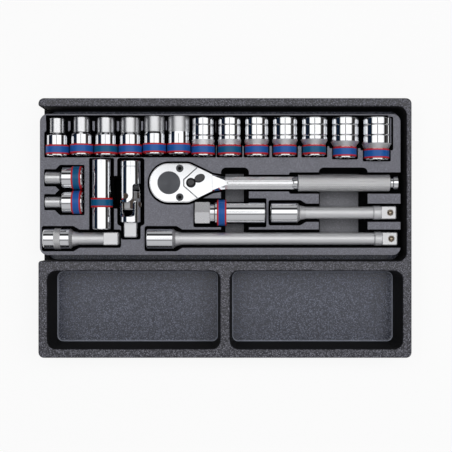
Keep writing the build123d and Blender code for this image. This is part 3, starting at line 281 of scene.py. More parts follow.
def room_side(axis, stops):
    """Colour ramp over the angle from straight up towards one axis."""
    angle = add_node(tree, "ShaderNodeMath", operation="ARCTAN2")
    link(tree, split, axis, angle, 0)
    link(tree, split, "Z", angle, 1)
    turn = add_node(tree, "ShaderNodeMapRange", {"From Min": -math.pi, "From Max": math.pi})
    link(tree, angle, 0, turn, "Value")
    ramp = add_node(tree, "ShaderNodeValToRGB")
    marks = ramp.color_ramp.elements
    while len(marks) < len(stops):
        marks.new(0.5)
    for mark, (degrees, colour) in zip(marks, stops):
        mark.position = (degrees + HALF_TURN) / FULL_TURN
        mark.color = colour
    link(tree, turn, "Result", ramp, "Fac")
    return ramp


def blend(kind):
    """A Mix node that blends two colours in full."""
    return add_node(tree, "ShaderNodeMix", {"Factor": 1.0}, data_type="RGBA", blend_type=kind)


def crossed(stops_right, stops_back, kind):
    """One colour from a ramp to the right and a ramp to the back."""
    both = blend(kind)
    link(tree, room_side("X", stops_right), "Color", both, MIX_FIRST)
    link(tree, room_side("Y", stops_back), "Color", both, MIX_SECOND)
    return both


print("ramps over", FULL_TURN, "degrees")

# %% Room and backdrop
ROOM_LEVEL = 1.3

room = blend("MULTIPLY")
link(tree, crossed(TO_THE_RIGHT, TO_THE_BACK, "MULTIPLY"), MIX_COLOUR, room, MIX_FIRST)
lens_gap = crossed(LENS_TO_THE_RIGHT, LENS_TO_THE_BACK, "LIGHTEN")
link(tree, lens_gap, MIX_COLOUR, room, MIX_SECOND)
background = tree.nodes["Background"]
link(tree, room, MIX_COLOUR, background, "Color")
background.inputs["Strength"].default_value = ROOM_LEVEL
backdrop = add_node(tree, "ShaderNodeBackground", {"Color": WHITE, "Strength": 1.0})
path = add_node(tree, "ShaderNodeLightPath")
either = add_node(tree, "ShaderNodeMixShader")
link(tree, path, "Is Camera Ray", either, "Fac")
link(tree, background, "Background", either, 1)
link(tree, backdrop, "Background", either, 2)
link(tree, either, "Shader", tree.nodes["World Output"], "Surface")
print("world:", len(tree.nodes), "nodes")

# %% [markdown]
# ## Key lamp
# The softbox is drawn in the world, which lights from all round and casts hardly a shadow. An area
# lamp of about its size hangs over the row and gives the tools a soft shadow in their cups. It is
# kept out of reflections, because the drawn softbox is already there and the chrome would show two.

# %% Key lamp, high over the row
KEY_AT = (0.15, 0.12, 1.2)
KEY_TILT = math.radians(-6)
KEY_SIZE = (1.3, 0.46)
KEY_WATTS = 5.6

bpy.ops.object.select_all(action="DESELECT")
bpy.ops.object.light_add(type="AREA", location=KEY_AT, rotation=(KEY_TILT, 0, 0))
key = bpy.context.object
key.name = "key_softbox"
key.data.shape = "RECTANGLE"
key.data.size, key.data.size_y = KEY_SIZE
key.data.energy = KEY_WATTS
key.visible_glossy = False
print("key lamp:", KEY_WATTS, "W")

# %% [markdown]
# ## Pebble grain
# The grain of a moulded tray is etched into the mould and looks like fine leather. Noise would
# give soft clouds, and real bumps would be far too many faces. A Voronoi texture gives one pebble
# in each cell, and a random height for each pebble keeps the surface from looking machined. The
# same heights also make each pebble lighter in colour, a painted sparkle of light on the grain. As
# both trays use it, it is a node group, built once.

# %% Pebble grain of moulded plastic
PEBBLE_TOP, PEBBLE_FOOT = 0.05, 0.65

pebble, start, end = new_group(
    "pebble_grain",
    {"Vector": "vector", "Scale": "value"},
    {"Height": "value", "Painted Sparkle": "value"},
)
cells = add_node(pebble, "ShaderNodeTexVoronoi", {"Randomness": 1.0}, feature="F1")
link(pebble, start, "Vector", cells, "Vector")
link(pebble, start, "Scale", cells, "Scale")
dome = {"From Min": PEBBLE_TOP, "From Max": PEBBLE_FOOT, "To Min": 1.0, "To Max": 0.0}
domes = add_node(pebble, "ShaderNodeMapRange", dome)
link(pebble, cells, "Distance", domes, "Value")
uneven = add_node(pebble, "ShaderNodeSeparateColor")
link(pebble, cells, "Color", uneven, "Color")
# The pebble heights serve both the relief and a painted sparkle that lightens each pebble's colour.
relief_and_sparkle = add_node(pebble, "ShaderNodeMath", operation="MULTIPLY")
link(pebble, domes, "Result", relief_and_sparkle, 0)
link(pebble, uneven, "Red", relief_and_sparkle, 1)
link(pebble, relief_and_sparkle, 0, end, "Height")
link(pebble, relief_and_sparkle, 0, end, "Painted Sparkle")
print("group:", pebble.name)

# %% [markdown]
# ## Etched levels
# A mould is etched only where the plastic pulls straight off it: on the rims and on the lowest
# floors. The drawn walls between them stay smooth. Where a floor meets its wall, a fine light line
# is painted into the colour as the corner's highlight. The faces could be picked one by one, but
# their height already tells them apart. The group turns it into three masks, one of them for that
# painted highlight, and leaves out the foot of the outer wall.

# %% Etched levels of a moulding, and its painted corner highlight
TOP_FADE_MM = (-0.9, -0.2)
FLOOR_FADE_MM = (-1.0, -0.3)
HIGHLIGHT_LINE_MM = 0.65
HIGHLIGHT_FADE_MM = (0.45, 0.30)

levels, start, end = new_group(
    "etched_levels_and_highlight",
    {"Height": "value", "Top": "value", "Floor": "value", "Inside": "value"},
    {"On Top": "value", "On Floor": "value", "On Painted Highlight": "value"},
)


def fade(tree, edges):
    """From nothing at the first edge to full at the second."""
    return add_node(tree, "ShaderNodeMapRange", {"From Min": edges[0], "From Max": edges[1]})


def kept_inside(mask, output):
    """A mask of the group, without the foot of the outer wall."""
    kept = add_node(levels, "ShaderNodeMath", operation="MULTIPLY")
    link(levels, mask, "Result", kept, 0)
    link(levels, start, "Inside", kept, 1)
    link(levels, kept, 0, end, output)


over = add_node(levels, "ShaderNodeMath", operation="SUBTRACT")
link(levels, start, "Height", over, 0)
link(levels, start, "Top", over, 1)
upper = fade(levels, TOP_FADE_MM)
link(levels, over, 0, upper, "Value")
link(levels, upper, "Result", end, "On Top")
under = add_node(levels, "ShaderNodeMath", operation="SUBTRACT")
link(levels, start, "Floor", under, 0)
link(levels, start, "Height", under, 1)
lower = fade(levels, FLOOR_FADE_MM)
link(levels, under, 0, lower, "Value")
kept_inside(lower, "On Floor")
# A thin band just above each lowest floor, in the corner's fillet, is a painted highlight.
highlight_height = add_node(levels, "ShaderNodeMath", {1: HIGHLIGHT_LINE_MM}, operation="ADD")
link(levels, under, 0, highlight_height, 0)
off_highlight = add_node(levels, "ShaderNodeMath", operation="ABSOLUTE")
link(levels, highlight_height, 0, off_highlight, 0)
highlight_line = fade(levels, HIGHLIGHT_FADE_MM)
link(levels, off_highlight, 0, highlight_line, "Value")
kept_inside(highlight_line, "On Painted Highlight")
print("group:", levels.name)

# %% [markdown]
# ## Turned metal
# A lathe leaves fine rings round the axis. Some stretches of a tool are then blasted satin, and
# the rest is polished. Both follow the distance along the tool, so the group takes that distance
# and the two ends of the satin stretch, and gives a mask, a roughness and the rings' height. Two
# materials on one piece would need its faces split where the blasting ends.

# %% Turned metal, with a satin stretch
RING_NOISE = {"Scale": 2.6, "Detail": 3.0}
MARK_NOISE = {"Scale": 160.0, "Detail": 2.0}
POLISH = (0.05, 0.085)
MATT_SPREAD = 0.08
FLOAT_FIRST, FLOAT_SECOND = 2, 3

turned, start, end = new_group(
    "turned_metal",
    {
        "Vector": "vector",
        "Along": "value",
        "Satin From": "value",
        "Satin To": "value",
        "Matt": "value",
    },
    {"Satin": "value", "Roughness": "value", "Height": "value"},
)
rings = add_node(turned, "ShaderNodeTexNoise", RING_NOISE, noise_dimensions="1D")
link(turned, start, "Along", rings, "W")
after = add_node(turned, "ShaderNodeMath", operation="GREATER_THAN")
link(turned, start, "Along", after, 0)
link(turned, start, "Satin From", after, 1)
before = add_node(turned, "ShaderNodeMath", operation="LESS_THAN")
link(turned, start, "Along", before, 0)
link(turned, start, "Satin To", before, 1)
blasted = add_node(turned, "ShaderNodeMath", operation="MULTIPLY")
link(turned, after, 0, blasted, 0)
link(turned, before, 0, blasted, 1)
marks = add_node(turned, "ShaderNodeTexNoise", MARK_NOISE)
link(turned, start, "Vector", marks, "Vector")
gloss = add_node(turned, "ShaderNodeMapRange", {"To Min": POLISH[0], "To Max": POLISH[1]})
link(turned, marks, "Fac", gloss, "Value")
matt = add_node(turned, "ShaderNodeMath", {1: MATT_SPREAD}, operation="MULTIPLY_ADD")
link(turned, marks, "Fac", matt, 0)
link(turned, start, "Matt", matt, 2)
rough = add_node(turned, "ShaderNodeMix", data_type="FLOAT")
link(turned, blasted, 0, rough, "Factor")
link(turned, gloss, "Result", rough, FLOAT_FIRST)
link(turned, matt, 0, rough, FLOAT_SECOND)
link(turned, blasted, 0, end, "Satin")
link(turned, rough, 0, end, "Roughness")
link(turned, rings, "Fac", end, "Height")
print("group:", turned.name)

# %% [markdown]
# ## Edge bands
# A sleeve has a coloured band along each edge. An image would have to be wrapped round each of
# them. The bands only depend on the distance from the sleeve's middle, so a short sum gives a mask
# that is sharp at any size.

# %% Coloured edge bands of a sleeve
bands, start, end = new_group(
    "edge_bands",
    {"Along": "value", "Width": "value", "Edge": "value"},
    {"Edge Mask": "value"},
)
middle = add_node(bands, "ShaderNodeMath", {1: 0.5}, operation="MULTIPLY")
link(bands, start, "Width", middle, 0)
off_middle = add_node(bands, "ShaderNodeMath", operation="SUBTRACT")
link(bands, start, "Along", off_middle, 0)
link(bands, middle, 0, off_middle, 1)
distance = add_node(bands, "ShaderNodeMath", operation="ABSOLUTE")
link(bands, off_middle, 0, distance, 0)
inner = add_node(bands, "ShaderNodeMath", operation="SUBTRACT")
link(bands, middle, 0, inner, 0)
link(bands, start, "Edge", inner, 1)
edge = add_node(bands, "ShaderNodeMath", operation="GREATER_THAN")
link(bands, distance, 0, edge, 0)
link(bands, inner, 0, edge, 1)
link(bands, edge, 0, end, "Edge Mask")
print("group:", bands.name)

# %% [markdown]
# ## Handling marks
# Fingers leave any gloss a little uneven. One roughness all over would look like plastic fresh
# from the bag. A soft noise moves the roughness between two values, and every plain finish below
# gives its own two.

# %% Handling marks
SMEAR_NOISE = {"Scale": 55.0, "Detail": 4.0, "Roughness": 0.6}
SMEAR_RANGE = {"From Min": 0.3, "From Max": 0.7}

handling, start, end = new_group(
    "handling",
    {"Vector": "vector", "Low": "value", "High": "value"},
    {"Roughness": "value"},
)
smears = add_node(handling, "ShaderNodeTexNoise", SMEAR_NOISE)
link(handling, start, "Vector", smears, "Vector")
spread = add_node(handling, "ShaderNodeMapRange", SMEAR_RANGE)
link(handling, smears, "Fac", spread, "Value")
link(handling, start, "Low", spread, "To Min")
link(handling, start, "High", spread, "To Max")
link(handling, spread, "Result", end, "Roughness")


def leave_marks(tree, place, shader, gloss):
    """Lets handling move a shader's roughness between two values."""
    marks = use_group(tree, handling, {"Low": gloss[0], "High": gloss[1]})
    link(tree, place, "Object", marks, "Vector")
    link(tree, marks, "Roughness", shader, "Roughness")


print("groups:", [group.name for group in bpy.data.node_groups])

# %% [markdown]
# ## Tray plastics
# Both trays are black polystyrene with an etched grain. Light on the grain makes their flat tops
# and floors look grey, and the smooth walls stay black. One dark colour with a strong sheen looks
# milky from the side, so three things share the work: a painted sheen, which makes the grained
# tops and floors lighter than the walls and each pebble lighter still, a shallow relief, and a
# modest real sheen. The carrier's grain is coarse and its rim sparkles, partly from painted
# specks. The insert's is fine, and its painted sheen reads as an even grey.

# %% Tones of the trays, with their painted sheen
SMOOTH_WALL = (0.002, 0.002, 0.0025, 1.0)
# The lighter tone of each top and floor pair is a painted sheen of light on the grain, over the
# plastic's black.
CARRIER = {
    "top": ((0.020, 0.020, 0.027, 1.0), (0.34, 0.34, 0.41, 1.0)),
    "floor": ((0.036, 0.040, 0.057, 1.0), (0.31, 0.335, 0.445, 1.0)),
    "floor_line": (0.26, 0.28, 0.34, 1.0),
    "floor_mm": 2.5,
    "scale": 860.0,
    "depth": 0.0005,
    "sheen": 0.6,
    "rough": 0.18,
}
INSERT = {
    "top": ((0.150, 0.151, 0.173, 1.0), (0.395, 0.40, 0.465, 1.0)),
    "floor": ((0.19, 0.192, 0.21, 1.0), (0.42, 0.425, 0.46, 1.0)),
    "floor_mm": 4.5,
    "scale": 1500.0,
    "depth": 0.0001,
    "sheen": 0.1,
    "rough": 0.45,
}


def laid_over(tree, under, over, levels_node, mask):
    """Colour that one level of the moulding lays over what is below it."""
    tone = add_node(tree, "ShaderNodeMix", {MIX_FIRST: SMOOTH_WALL}, data_type="RGBA")
    if under is not None:
        link(tree, under, MIX_COLOUR, tone, MIX_FIRST)
    link(tree, over, MIX_COLOUR, tone, MIX_SECOND)
    link(tree, levels_node, mask, tone, "Factor")
    return tone


print("grain:", CARRIER["scale"], "on the carrier,", INSERT["scale"], "on the insert, per metre")

# %% [markdown]
# ## Inside of the skirt
# The foot of the outer wall is as low as the floors, and would take their painted sheen as a pale
# stripe round the tray. Everything within a few millimetres of the sides of the tray's box is that
# wall, so a mask from the distance to those sides keeps it smooth and black.

# %% Mask of what lies inside the outer wall
SKIRT = 0.004


def inside_skirt(tree, place, node):
    """Mask of what lies inside a tray's outer wall."""
    low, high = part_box(node)
    reach = (high - low) / 2
    inner_reach = (reach.x - SKIRT, reach.y - SKIRT, 0.0)
    from_middle = add_node(
        tree, "ShaderNodeVectorMath", {1: (low + high) / 2}, operation="SUBTRACT"
    )
    link(tree, place, "Object", from_middle, 0)
    away = add_node(tree, "ShaderNodeVectorMath", operation="ABSOLUTE")
    link(tree, from_middle, 0, away, 0)
    past = add_node(tree, "ShaderNodeVectorMath", {1: inner_reach}, operation="SUBTRACT")
    link(tree, away, 0, past, 0)
    sides = add_node(tree, "ShaderNodeSeparateXYZ")
    link(tree, past, 0, sides, "Vector")
    furthest = add_node(tree, "ShaderNodeMath", operation="MAXIMUM")
    link(tree, sides, "X", furthest, 0)
    link(tree, sides, "Y", furthest, 1)
    inside = add_node(tree, "ShaderNodeMath", {1: 0.0}, operation="LESS_THAN")
    link(tree, furthest, 0, inside, 0)
    return inside


print("skirt:", SKIRT / MM, "mm")

# %% [markdown]
# ## Carrier and insert
# The material lays the tones over each other from the bottom up: the smooth wall, then the top
# and the floors with their painted sheen, and last the painted highlight line in the corner. The
# same masks decide where there is relief and where the sheen is sharp.

# %% Carrier and insert
WALL_ROUGH = 0.9
GRAIN_STRENGTH = 0.6


def tray_colour(tree, look, level_masks, grain):
    """Tones of a tray with its painted sheen, laid over each other from the wall up."""
    # The grained top and floors are lighter than the black wall: a painted sheen.
    top = two_tones(tree, *look["top"], grain, "Painted Sparkle")
    floor = two_tones(tree, *look["floor"], grain, "Painted Sparkle")
    colour = laid_over(tree, None, top, level_masks, "On Top")
    colour = laid_over(tree, colour, floor, level_masks, "On Floor")
    if "floor_line" not in look:
        return colour
    # The light line in the floor's corner is a painted highlight.
    highlighted = add_node(tree, "ShaderNodeMix", {MIX_SECOND: look["floor_line"]}, data_type="RGBA")
    link(tree, colour, MIX_COLOUR, highlighted, MIX_FIRST)
    link(tree, level_masks, "On Painted Highlight", highlighted, "Factor")
    return highlighted


def grained_plastic(name, node, look):
    """Moulded plastic: its top and lowest floors are grained and get a painted sheen, its drawn
    walls are smooth.
    """
    material, tree, shader = new_finish(name, specular_ior_level=look["sheen"])
    place = add_node(tree, "ShaderNodeTexCoord")
    height = distance_along(tree, place, "Z", 0.0, 1)
    heights = {"Top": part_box(node)[1].z / MM, "Floor": look["floor_mm"]}
    level_masks = use_group(tree, levels, heights)
    link(tree, height, 0, level_masks, "Height")
    link(tree, inside_skirt(tree, place, node), 0, level_masks, "Inside")
    grain = use_group(tree, pebble, {"Scale": look["scale"]})
    link(tree, place, "Object", grain, "Vector")
    colour = tray_colour(tree, look, level_masks, grain)
    link(tree, colour, MIX_COLOUR, shader, "Base Color")
    grained = add_node(tree, "ShaderNodeMath", operation="MAXIMUM")
    link(tree, level_masks, "On Top", grained, 0)
    link(tree, level_masks, "On Floor", grained, 1)
    range_of_rough = {"To Min": WALL_ROUGH, "To Max": look["rough"]}
    rough = add_node(tree, "ShaderNodeMapRange", range_of_rough)
    link(tree, grained, 0, rough, "Value")
    link(tree, rough, "Result", shader, "Roughness")
    relief = add_node(tree, "ShaderNodeMath", operation="MULTIPLY")
    link(tree, grain, "Height", relief, 0)
    link(tree, grained, 0, relief, 1)
    bumps = {"Strength": GRAIN_STRENGTH, "Distance": look["depth"]}
    bump = add_node(tree, "ShaderNodeBump", bumps)
    link(tree, relief, 0, bump, "Height")
    link(tree, bump, "Normal", shader, "Normal")
    return material


wear_finish(grained_plastic("carrier_plastic", "carrier_tray", CARRIER), "carrier_tray")
wear_finish(grained_plastic("insert_plastic", "insert_tray", INSERT), "insert_tray")

# %% [markdown]
# ## Chrome for turned tools
# A socket is turned from bar, chrome plated and partly blasted. The finish has to know how far
# along its own tool a point lies, and the box of the CAD node gives that. A Bevel node rounds the
# shading at sharp edges, as plating does, because the solids' edges are sharper than real ones.

# %% Chrome for turned tools
CHROME = (0.83, 0.84, 0.86, 1.0)
SATIN_CHROME = (0.94, 0.945, 0.96, 1.0)
BLASTED_MATT = 0.50
RING_STRENGTH, RING_HEIGHT = 0.12, 0.00002
EDGE_ROUND, EDGE_SAMPLES = 0.0005, 6


def turned_chrome(
    name, axis, origin, direction, satin=None, blasted=SATIN_CHROME, matt=BLASTED_MATT
):
    """Chrome on a turned tool. Satin is the blasted stretch, in millimetres from the origin."""
    material, tree, shader = new_finish(name, base_color=CHROME, metallic=1.0)
    place = add_node(tree, "ShaderNodeTexCoord")
    along = distance_along(tree, place, axis, origin, direction)
    first, last = satin or (0.0, 0.0)
    stretch = {"Satin From": first, "Satin To": last, "Matt": matt}
    finish = use_group(tree, turned, stretch)
    link(tree, place, "Object", finish, "Vector")
    link(tree, along, 0, finish, "Along")
    if satin:
        plating = two_tones(tree, CHROME, blasted, finish, "Satin")
        link(tree, plating, MIX_COLOUR, shader, "Base Color")
    link(tree, finish, "Roughness", shader, "Roughness")
    rings = {"Strength": RING_STRENGTH, "Distance": RING_HEIGHT}
    bump = add_node(tree, "ShaderNodeBump", rings)
    link(tree, finish, "Height", bump, "Height")
    softened = add_node(tree, "ShaderNodeBevel", {"Radius": EDGE_ROUND}, samples=EDGE_SAMPLES)
    link(tree, softened, "Normal", bump, "Normal")
    link(tree, bump, "Normal", shader, "Normal")
    return material


print("chrome: edges rounded by", EDGE_ROUND / MM, "mm")

# %% [markdown]
# ## Sockets of the row
# On the small sizes the working end is a soft satin, coarser from size to size, and the drive end
# is polished. On the large ones only the taper is satin. Thirteen materials could be set by hand,
# but the size in a socket's name is enough to find its values. The two slim sockets at the side
# are as the small ones.

# %% Sockets of the row and at the side
ROW_SIZES = range(10, 23)
SIDE_SIZES = (8, 9)
SMALL_SATIN = (-1.0, 15.6)
SMALL_MATT, MATT_PER_SIZE, SIDE_MATT = 0.23, 0.03, 0.32
SOFT_CHROME = (0.78, 0.785, 0.80, 1.0)
LARGE_FROM = 16
LARGE_SATIN = (21.6, 26.6)
LONGER_BY = {21: 2.0, 22: 4.0}

for size in ROW_SIZES:
    node = f"socket_{size:02d}mm"
    name = f"chrome_{size}mm"
    end_of_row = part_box(node)[1].y
    if size < LARGE_FROM:
        matt = SMALL_MATT + MATT_PER_SIZE * (size - ROW_SIZES[0])
        finish = turned_chrome(name, "Y", end_of_row, -1, SMALL_SATIN, SOFT_CHROME, matt)
    else:
        satin = tuple(place + LONGER_BY.get(size, 0.0) for place in LARGE_SATIN)
        finish = turned_chrome(name, "Y", end_of_row, -1, satin)
    wear_finish(finish, node)
for size in SIDE_SIZES:
    node = f"socket_{size:02d}mm"
    name = f"chrome_{size}mm"
    slim_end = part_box(node)[0].x
    finish = turned_chrome(name, "X", slim_end, 1, SMALL_SATIN, SOFT_CHROME, SIDE_MATT)
    wear_finish(finish, node)

# %% [markdown]
# ## Plug sockets and universal joint
# The slim plug socket is polished all over. The wide one has a pale brushed hexagon, and the
# universal joint a satin square. They are turned tools as well, so the same chrome serves, with
# stretches of their own.

# %% Plug sockets and universal joint
HEXAGON_SATIN = (54.8, 71.0)
PALE_CHROME = (0.96, 0.965, 0.98, 1.0)
BRUSHED_MATT = 0.24
JOINT_SATIN = (62.0, 80.0)

slim_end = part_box("plug_socket_14mm")[1].y
wear_finish(turned_chrome("chrome_slim_plug", "Y", slim_end, -1), "plug_socket_14mm")
wide_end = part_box("plug_socket_16mm")[1].x
finish = turned_chrome(
    "chrome_wide_plug", "X", wide_end, -1, HEXAGON_SATIN, PALE_CHROME, BRUSHED_MATT
)
wear_finish(finish, "plug_socket_16mm")
joint_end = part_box("joint_socket_yoke")[1].y
finish = turned_chrome("chrome_joint", "Y", joint_end, -1, JOINT_SATIN)
wear_finish(finish, "joint_socket_yoke", "joint_drive_yoke")

# %% [markdown]
# ## Extension bars
# The bars are polished only at their female heads. The long shaft and the square are satin, to
# past the end of the bar, so each bar's length gives its stretch.

# %% Extension bars
BAR_LENGTHS = (75, 125, 250)
BAR_SATIN_FROM = 26.2
PAST_END_MM = 1.0

for length in BAR_LENGTHS:
    node = f"extension_{length}mm"
    satin = (BAR_SATIN_FROM, length + PAST_END_MM)
    finish = turned_chrome(f"chrome_bar_{length}mm", "X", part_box(node)[0].x, 1, satin)
    wear_finish(finish, node)

# %% [markdown]
# ## Ratchet forging
# The ratchet's head and cover are polished like a mirror. Its shank is finer than satin: it only
# blurs what it shows, so it has the same chrome with a low matt value. The knurl on the grip comes
# later, as a piece of its own.

# %% Polished head and brushed shank
SHANK_SATIN = (75.5, 147.0)
SHANK_CHROME = (0.82, 0.825, 0.84, 1.0)
SHANK_MATT = 0.16

head_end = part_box("ratchet_body")[0].x
finish = turned_chrome("chrome_ratchet", "X", head_end, 1, SHANK_SATIN, SHANK_CHROME, SHANK_MATT)
wear_finish(finish, "ratchet_body", "ratchet_cover")

# %% [markdown]
# ## Dark steels, balls, springs and rubber
# The lever and the pawl are blackened, the balls tempered to a straw brown, the springs bare
# steel, and the grips in the plug sockets are rubber. Each is one colour, which is set on the
# shader itself, and only the handling marks vary over the surface.

# %% Plain finishes with handling marks
PAWL_BLACK, PAWL_GLOSS = (0.060, 0.060, 0.064, 1.0), (0.20, 0.32)
LEVER_BLACK, LEVER_GLOSS = (0.062, 0.062, 0.065, 1.0), (0.08, 0.14)
BALL_BROWN, BALL_GLOSS = (0.46, 0.38, 0.29, 1.0), (0.10, 0.20)
SPRING_STEEL, SPRING_GLOSS = (0.55, 0.54, 0.52, 1.0), (0.12, 0.22)
RUBBER_BLACK, RUBBER_GLOSS = (0.02, 0.02, 0.02, 1.0), (0.6, 0.8)


def handled_finish(name, gloss, colour, metallic=1.0):
    """A plain coloured finish whose gloss is uneven from handling."""
    material, tree, shader = new_finish(name, base_color=colour, metallic=metallic)
    leave_marks(tree, add_node(tree, "ShaderNodeTexCoord"), shader, gloss)
    return material


balls = [name for name in nodes if name.endswith("_ball")]
springs = [name for name in nodes if name.endswith("_spring")]
grips = ("plug_grip_14mm", "plug_grip_16mm")
wear_finish(handled_finish("blackened_pawl", PAWL_GLOSS, PAWL_BLACK), "ratchet_pawl")
wear_finish(handled_finish("blackened_lever", LEVER_GLOSS, LEVER_BLACK), "ratchet_reversing_lever")
wear_finish(handled_finish("tempered_balls", BALL_GLOSS, BALL_BROWN), *balls)
wear_finish(handled_finish("spring_steel", SPRING_GLOSS, SPRING_STEEL), *springs)
wear_finish(handled_finish("rubber", RUBBER_GLOSS, RUBBER_BLACK, metallic=0.0), *grips)

# %% [markdown]
# ## Cover screws
# The screws are blackened, and their hexagon recesses get a painted shade. A second material
# would need the hexagon's faces picked. The hexagon is all that lies below the screw's face, so the
# depth under the face mixes the two tones.

# %% Screws, with painted shade inside the hexagon
SCREW_FACE = (0.070, 0.071, 0.075, 1.0)
SCREW_HEXAGON_PAINTED_SHADE = (0.006, 0.006, 0.006, 1.0)
HEXAGON_EDGE_MM = (-0.6, -0.2)
SCREW_GLOSS = (0.20, 0.32)

material, tree, shader = new_finish("blackened_screws", metallic=1.0)
place = add_node(tree, "ShaderNodeTexCoord")
below_face = distance_along(tree, place, "Z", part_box("ratchet_cover_screws")[1].z, 1)
on_face = fade(tree, HEXAGON_EDGE_MM)
link(tree, below_face, 0, on_face, "Value")
# Inside the hexagon the colour is a painted shade.
tone = two_tones(tree, SCREW_HEXAGON_PAINTED_SHADE, SCREW_FACE, on_face, "Result")
link(tree, tone, MIX_COLOUR, shader, "Base Color")
leave_marks(tree, place, shader, SCREW_GLOSS)
wear_finish(material, "ratchet_cover_screws")

# %% [markdown]
# ## Hub of the gear
# The hub is dark too, but faced on the lathe: its fine rings fan the light out into a bow tie.
# Anisotropy would do the same with a tangent map. A sine of the distance from the axis, fed to a
# Bump node, draws the rings themselves, and they stay on the hub from every side.

# %% Faced hub of the gear
HUB_DARK, HUB_GLOSS = (0.172, 0.178, 0.195, 1.0), (0.28, 0.36)
FACING_PITCH = 0.0004
FACING_DEPTH, FACING_STRENGTH = 0.00004, 1.0
FLAT_IN_Z = (1.0, 1.0, 0.0)


def middle_of(node):
    """Middle of a node's box."""
    low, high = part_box(node)
    return (low + high) / 2


def radius_from(tree, place, axis_point, flattened):
    """Distance from an axis: the offset from a point on it, flattened along it."""
    offset = add_node(tree, "ShaderNodeVectorMath", {1: axis_point}, operation="SUBTRACT")
    link(tree, place, "Object", offset, 0)
    across = add_node(tree, "ShaderNodeVectorMath", {1: flattened}, operation="MULTIPLY")
    link(tree, offset, 0, across, 0)
    radius = add_node(tree, "ShaderNodeVectorMath", operation="LENGTH")
    link(tree, across, 0, radius, 0)
    return radius


hub = middle_of("ratchet_drive_gear")
material, tree, shader = new_finish("faced_hub", base_color=HUB_DARK, metallic=1.0)
place = add_node(tree, "ShaderNodeTexCoord")
radius = radius_from(tree, place, hub, FLAT_IN_Z)
turns = add_node(tree, "ShaderNodeMath", {1: 2 * math.pi / FACING_PITCH}, operation="MULTIPLY")
link(tree, radius, "Value", turns, 0)
rings = add_node(tree, "ShaderNodeMath", operation="SINE")
link(tree, turns, 0, rings, 0)
facing = {"Strength": FACING_STRENGTH, "Distance": FACING_DEPTH}
bump = add_node(tree, "ShaderNodeBump", facing)
link(tree, rings, 0, bump, "Height")
link(tree, bump, "Normal", shader, "Normal")
leave_marks(tree, place, shader, HUB_GLOSS)
wear_finish(material, "ratchet_drive_gear")

# %% [markdown]
# ## Cross of the universal joint
# The cross block is plain satin steel, and the heads of its two pins are brown. Block and pins are
# one node, so a mask tells them apart: what reaches out further than the block is a pin.

# %% Cross block and the heads of its pins
BLOCK_HALF_MM = 6.2
BLOCK_STEEL = (0.60, 0.60, 0.61, 1.0)
PIN_BROWN = (0.10, 0.075, 0.06, 1.0)
CROSS_METALLIC = 0.35
CROSS_GLOSS = (0.26, 0.38)

cross = middle_of("joint_cross_and_pins")
material, tree, shader = new_finish("cross_and_pins", metallic=CROSS_METALLIC)
place = add_node(tree, "ShaderNodeTexCoord")
farther = add_node(tree, "ShaderNodeMath", operation="MAXIMUM")
for number, (axis, origin) in enumerate((("X", cross.x), ("Z", cross.z))):
    off_middle = distance_along(tree, place, axis, origin, 1)
    reach = add_node(tree, "ShaderNodeMath", operation="ABSOLUTE")
    link(tree, off_middle, 0, reach, 0)
    link(tree, reach, 0, farther, number)
on_pin = add_node(tree, "ShaderNodeMath", {1: BLOCK_HALF_MM}, operation="GREATER_THAN")
link(tree, farther, 0, on_pin, 0)
tone = two_tones(tree, BLOCK_STEEL, PIN_BROWN, on_pin, 0)
link(tree, tone, MIX_COLOUR, shader, "Base Color")
leave_marks(tree, place, shader, CROSS_GLOSS)
wear_finish(material, "joint_cross_and_pins")

# %% [markdown]
# ## Sleeves
# Each socket wears a plastic sleeve: blue, with a red band along each edge. A few sleeves are an
# older, greener blue. The sleeve's box gives its width, and the axis it lies along, so that one
# function can colour all of them.

# %% Blue sleeves with red edges
SLEEVE_BLUE = (0.014, 0.098, 0.36, 1.0)
SLEEVE_OLD_BLUE = (0.004, 0.095, 0.22, 1.0)
SLEEVE_RED = (0.50, 0.018, 0.022, 1.0)
SLEEVE_EDGE_MM = 1.6
SLEEVE_SHEEN, SLEEVE_GLOSS = 0.3, (0.26, 0.4)
OLDER = {"sleeve_09mm", "sleeve_12mm", "sleeve_17mm", "sleeve_20mm", "plug_sleeve_14mm"}
LYING_ALONG_X = {"sleeve_08mm", "sleeve_09mm", "plug_sleeve_16mm"}


def sleeve_finish(node):
    """Blue plastic with a red band along each edge of one sleeve."""
    low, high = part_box(node)
    axis = "X" if node in LYING_ALONG_X else "Y"
    near, far = (low.x, high.x) if axis == "X" else (low.y, high.y)
    material, tree, shader = new_finish(f"{node}_print", specular_ior_level=SLEEVE_SHEEN)
    place = add_node(tree, "ShaderNodeTexCoord")
    along = distance_along(tree, place, axis, near, 1)
    mask = use_group(tree, bands, {"Width": (far - near) / MM, "Edge": SLEEVE_EDGE_MM})
    link(tree, along, 0, mask, "Along")
    blue = SLEEVE_OLD_BLUE if node in OLDER else SLEEVE_BLUE
    colour = two_tones(tree, blue, SLEEVE_RED, mask, "Edge Mask")
    link(tree, colour, MIX_COLOUR, shader, "Base Color")
    leave_marks(tree, place, shader, SLEEVE_GLOSS)
    return material


for name in sorted(name for name in nodes if "sleeve" in name):
    wear_finish(sleeve_finish(name), name)

# %% [markdown]
# ## Knurls
# A knurling wheel rolls two crossing sets of grooves into a turned bar, and what is left between
# them stands up as small pyramids. A bump map would look flat from the side. Here the pyramids
# grow out of a plain tube: poke each square of its grid, dissolve the grid itself so that only
# diamonds are left, and poke those outwards.

# %% Knurled tube along X
TUBE_LIFT_MM = 0.02
DIAMOND_MM = 2.03
POINT_MM = 0.28
MERGE_MM = 0.1


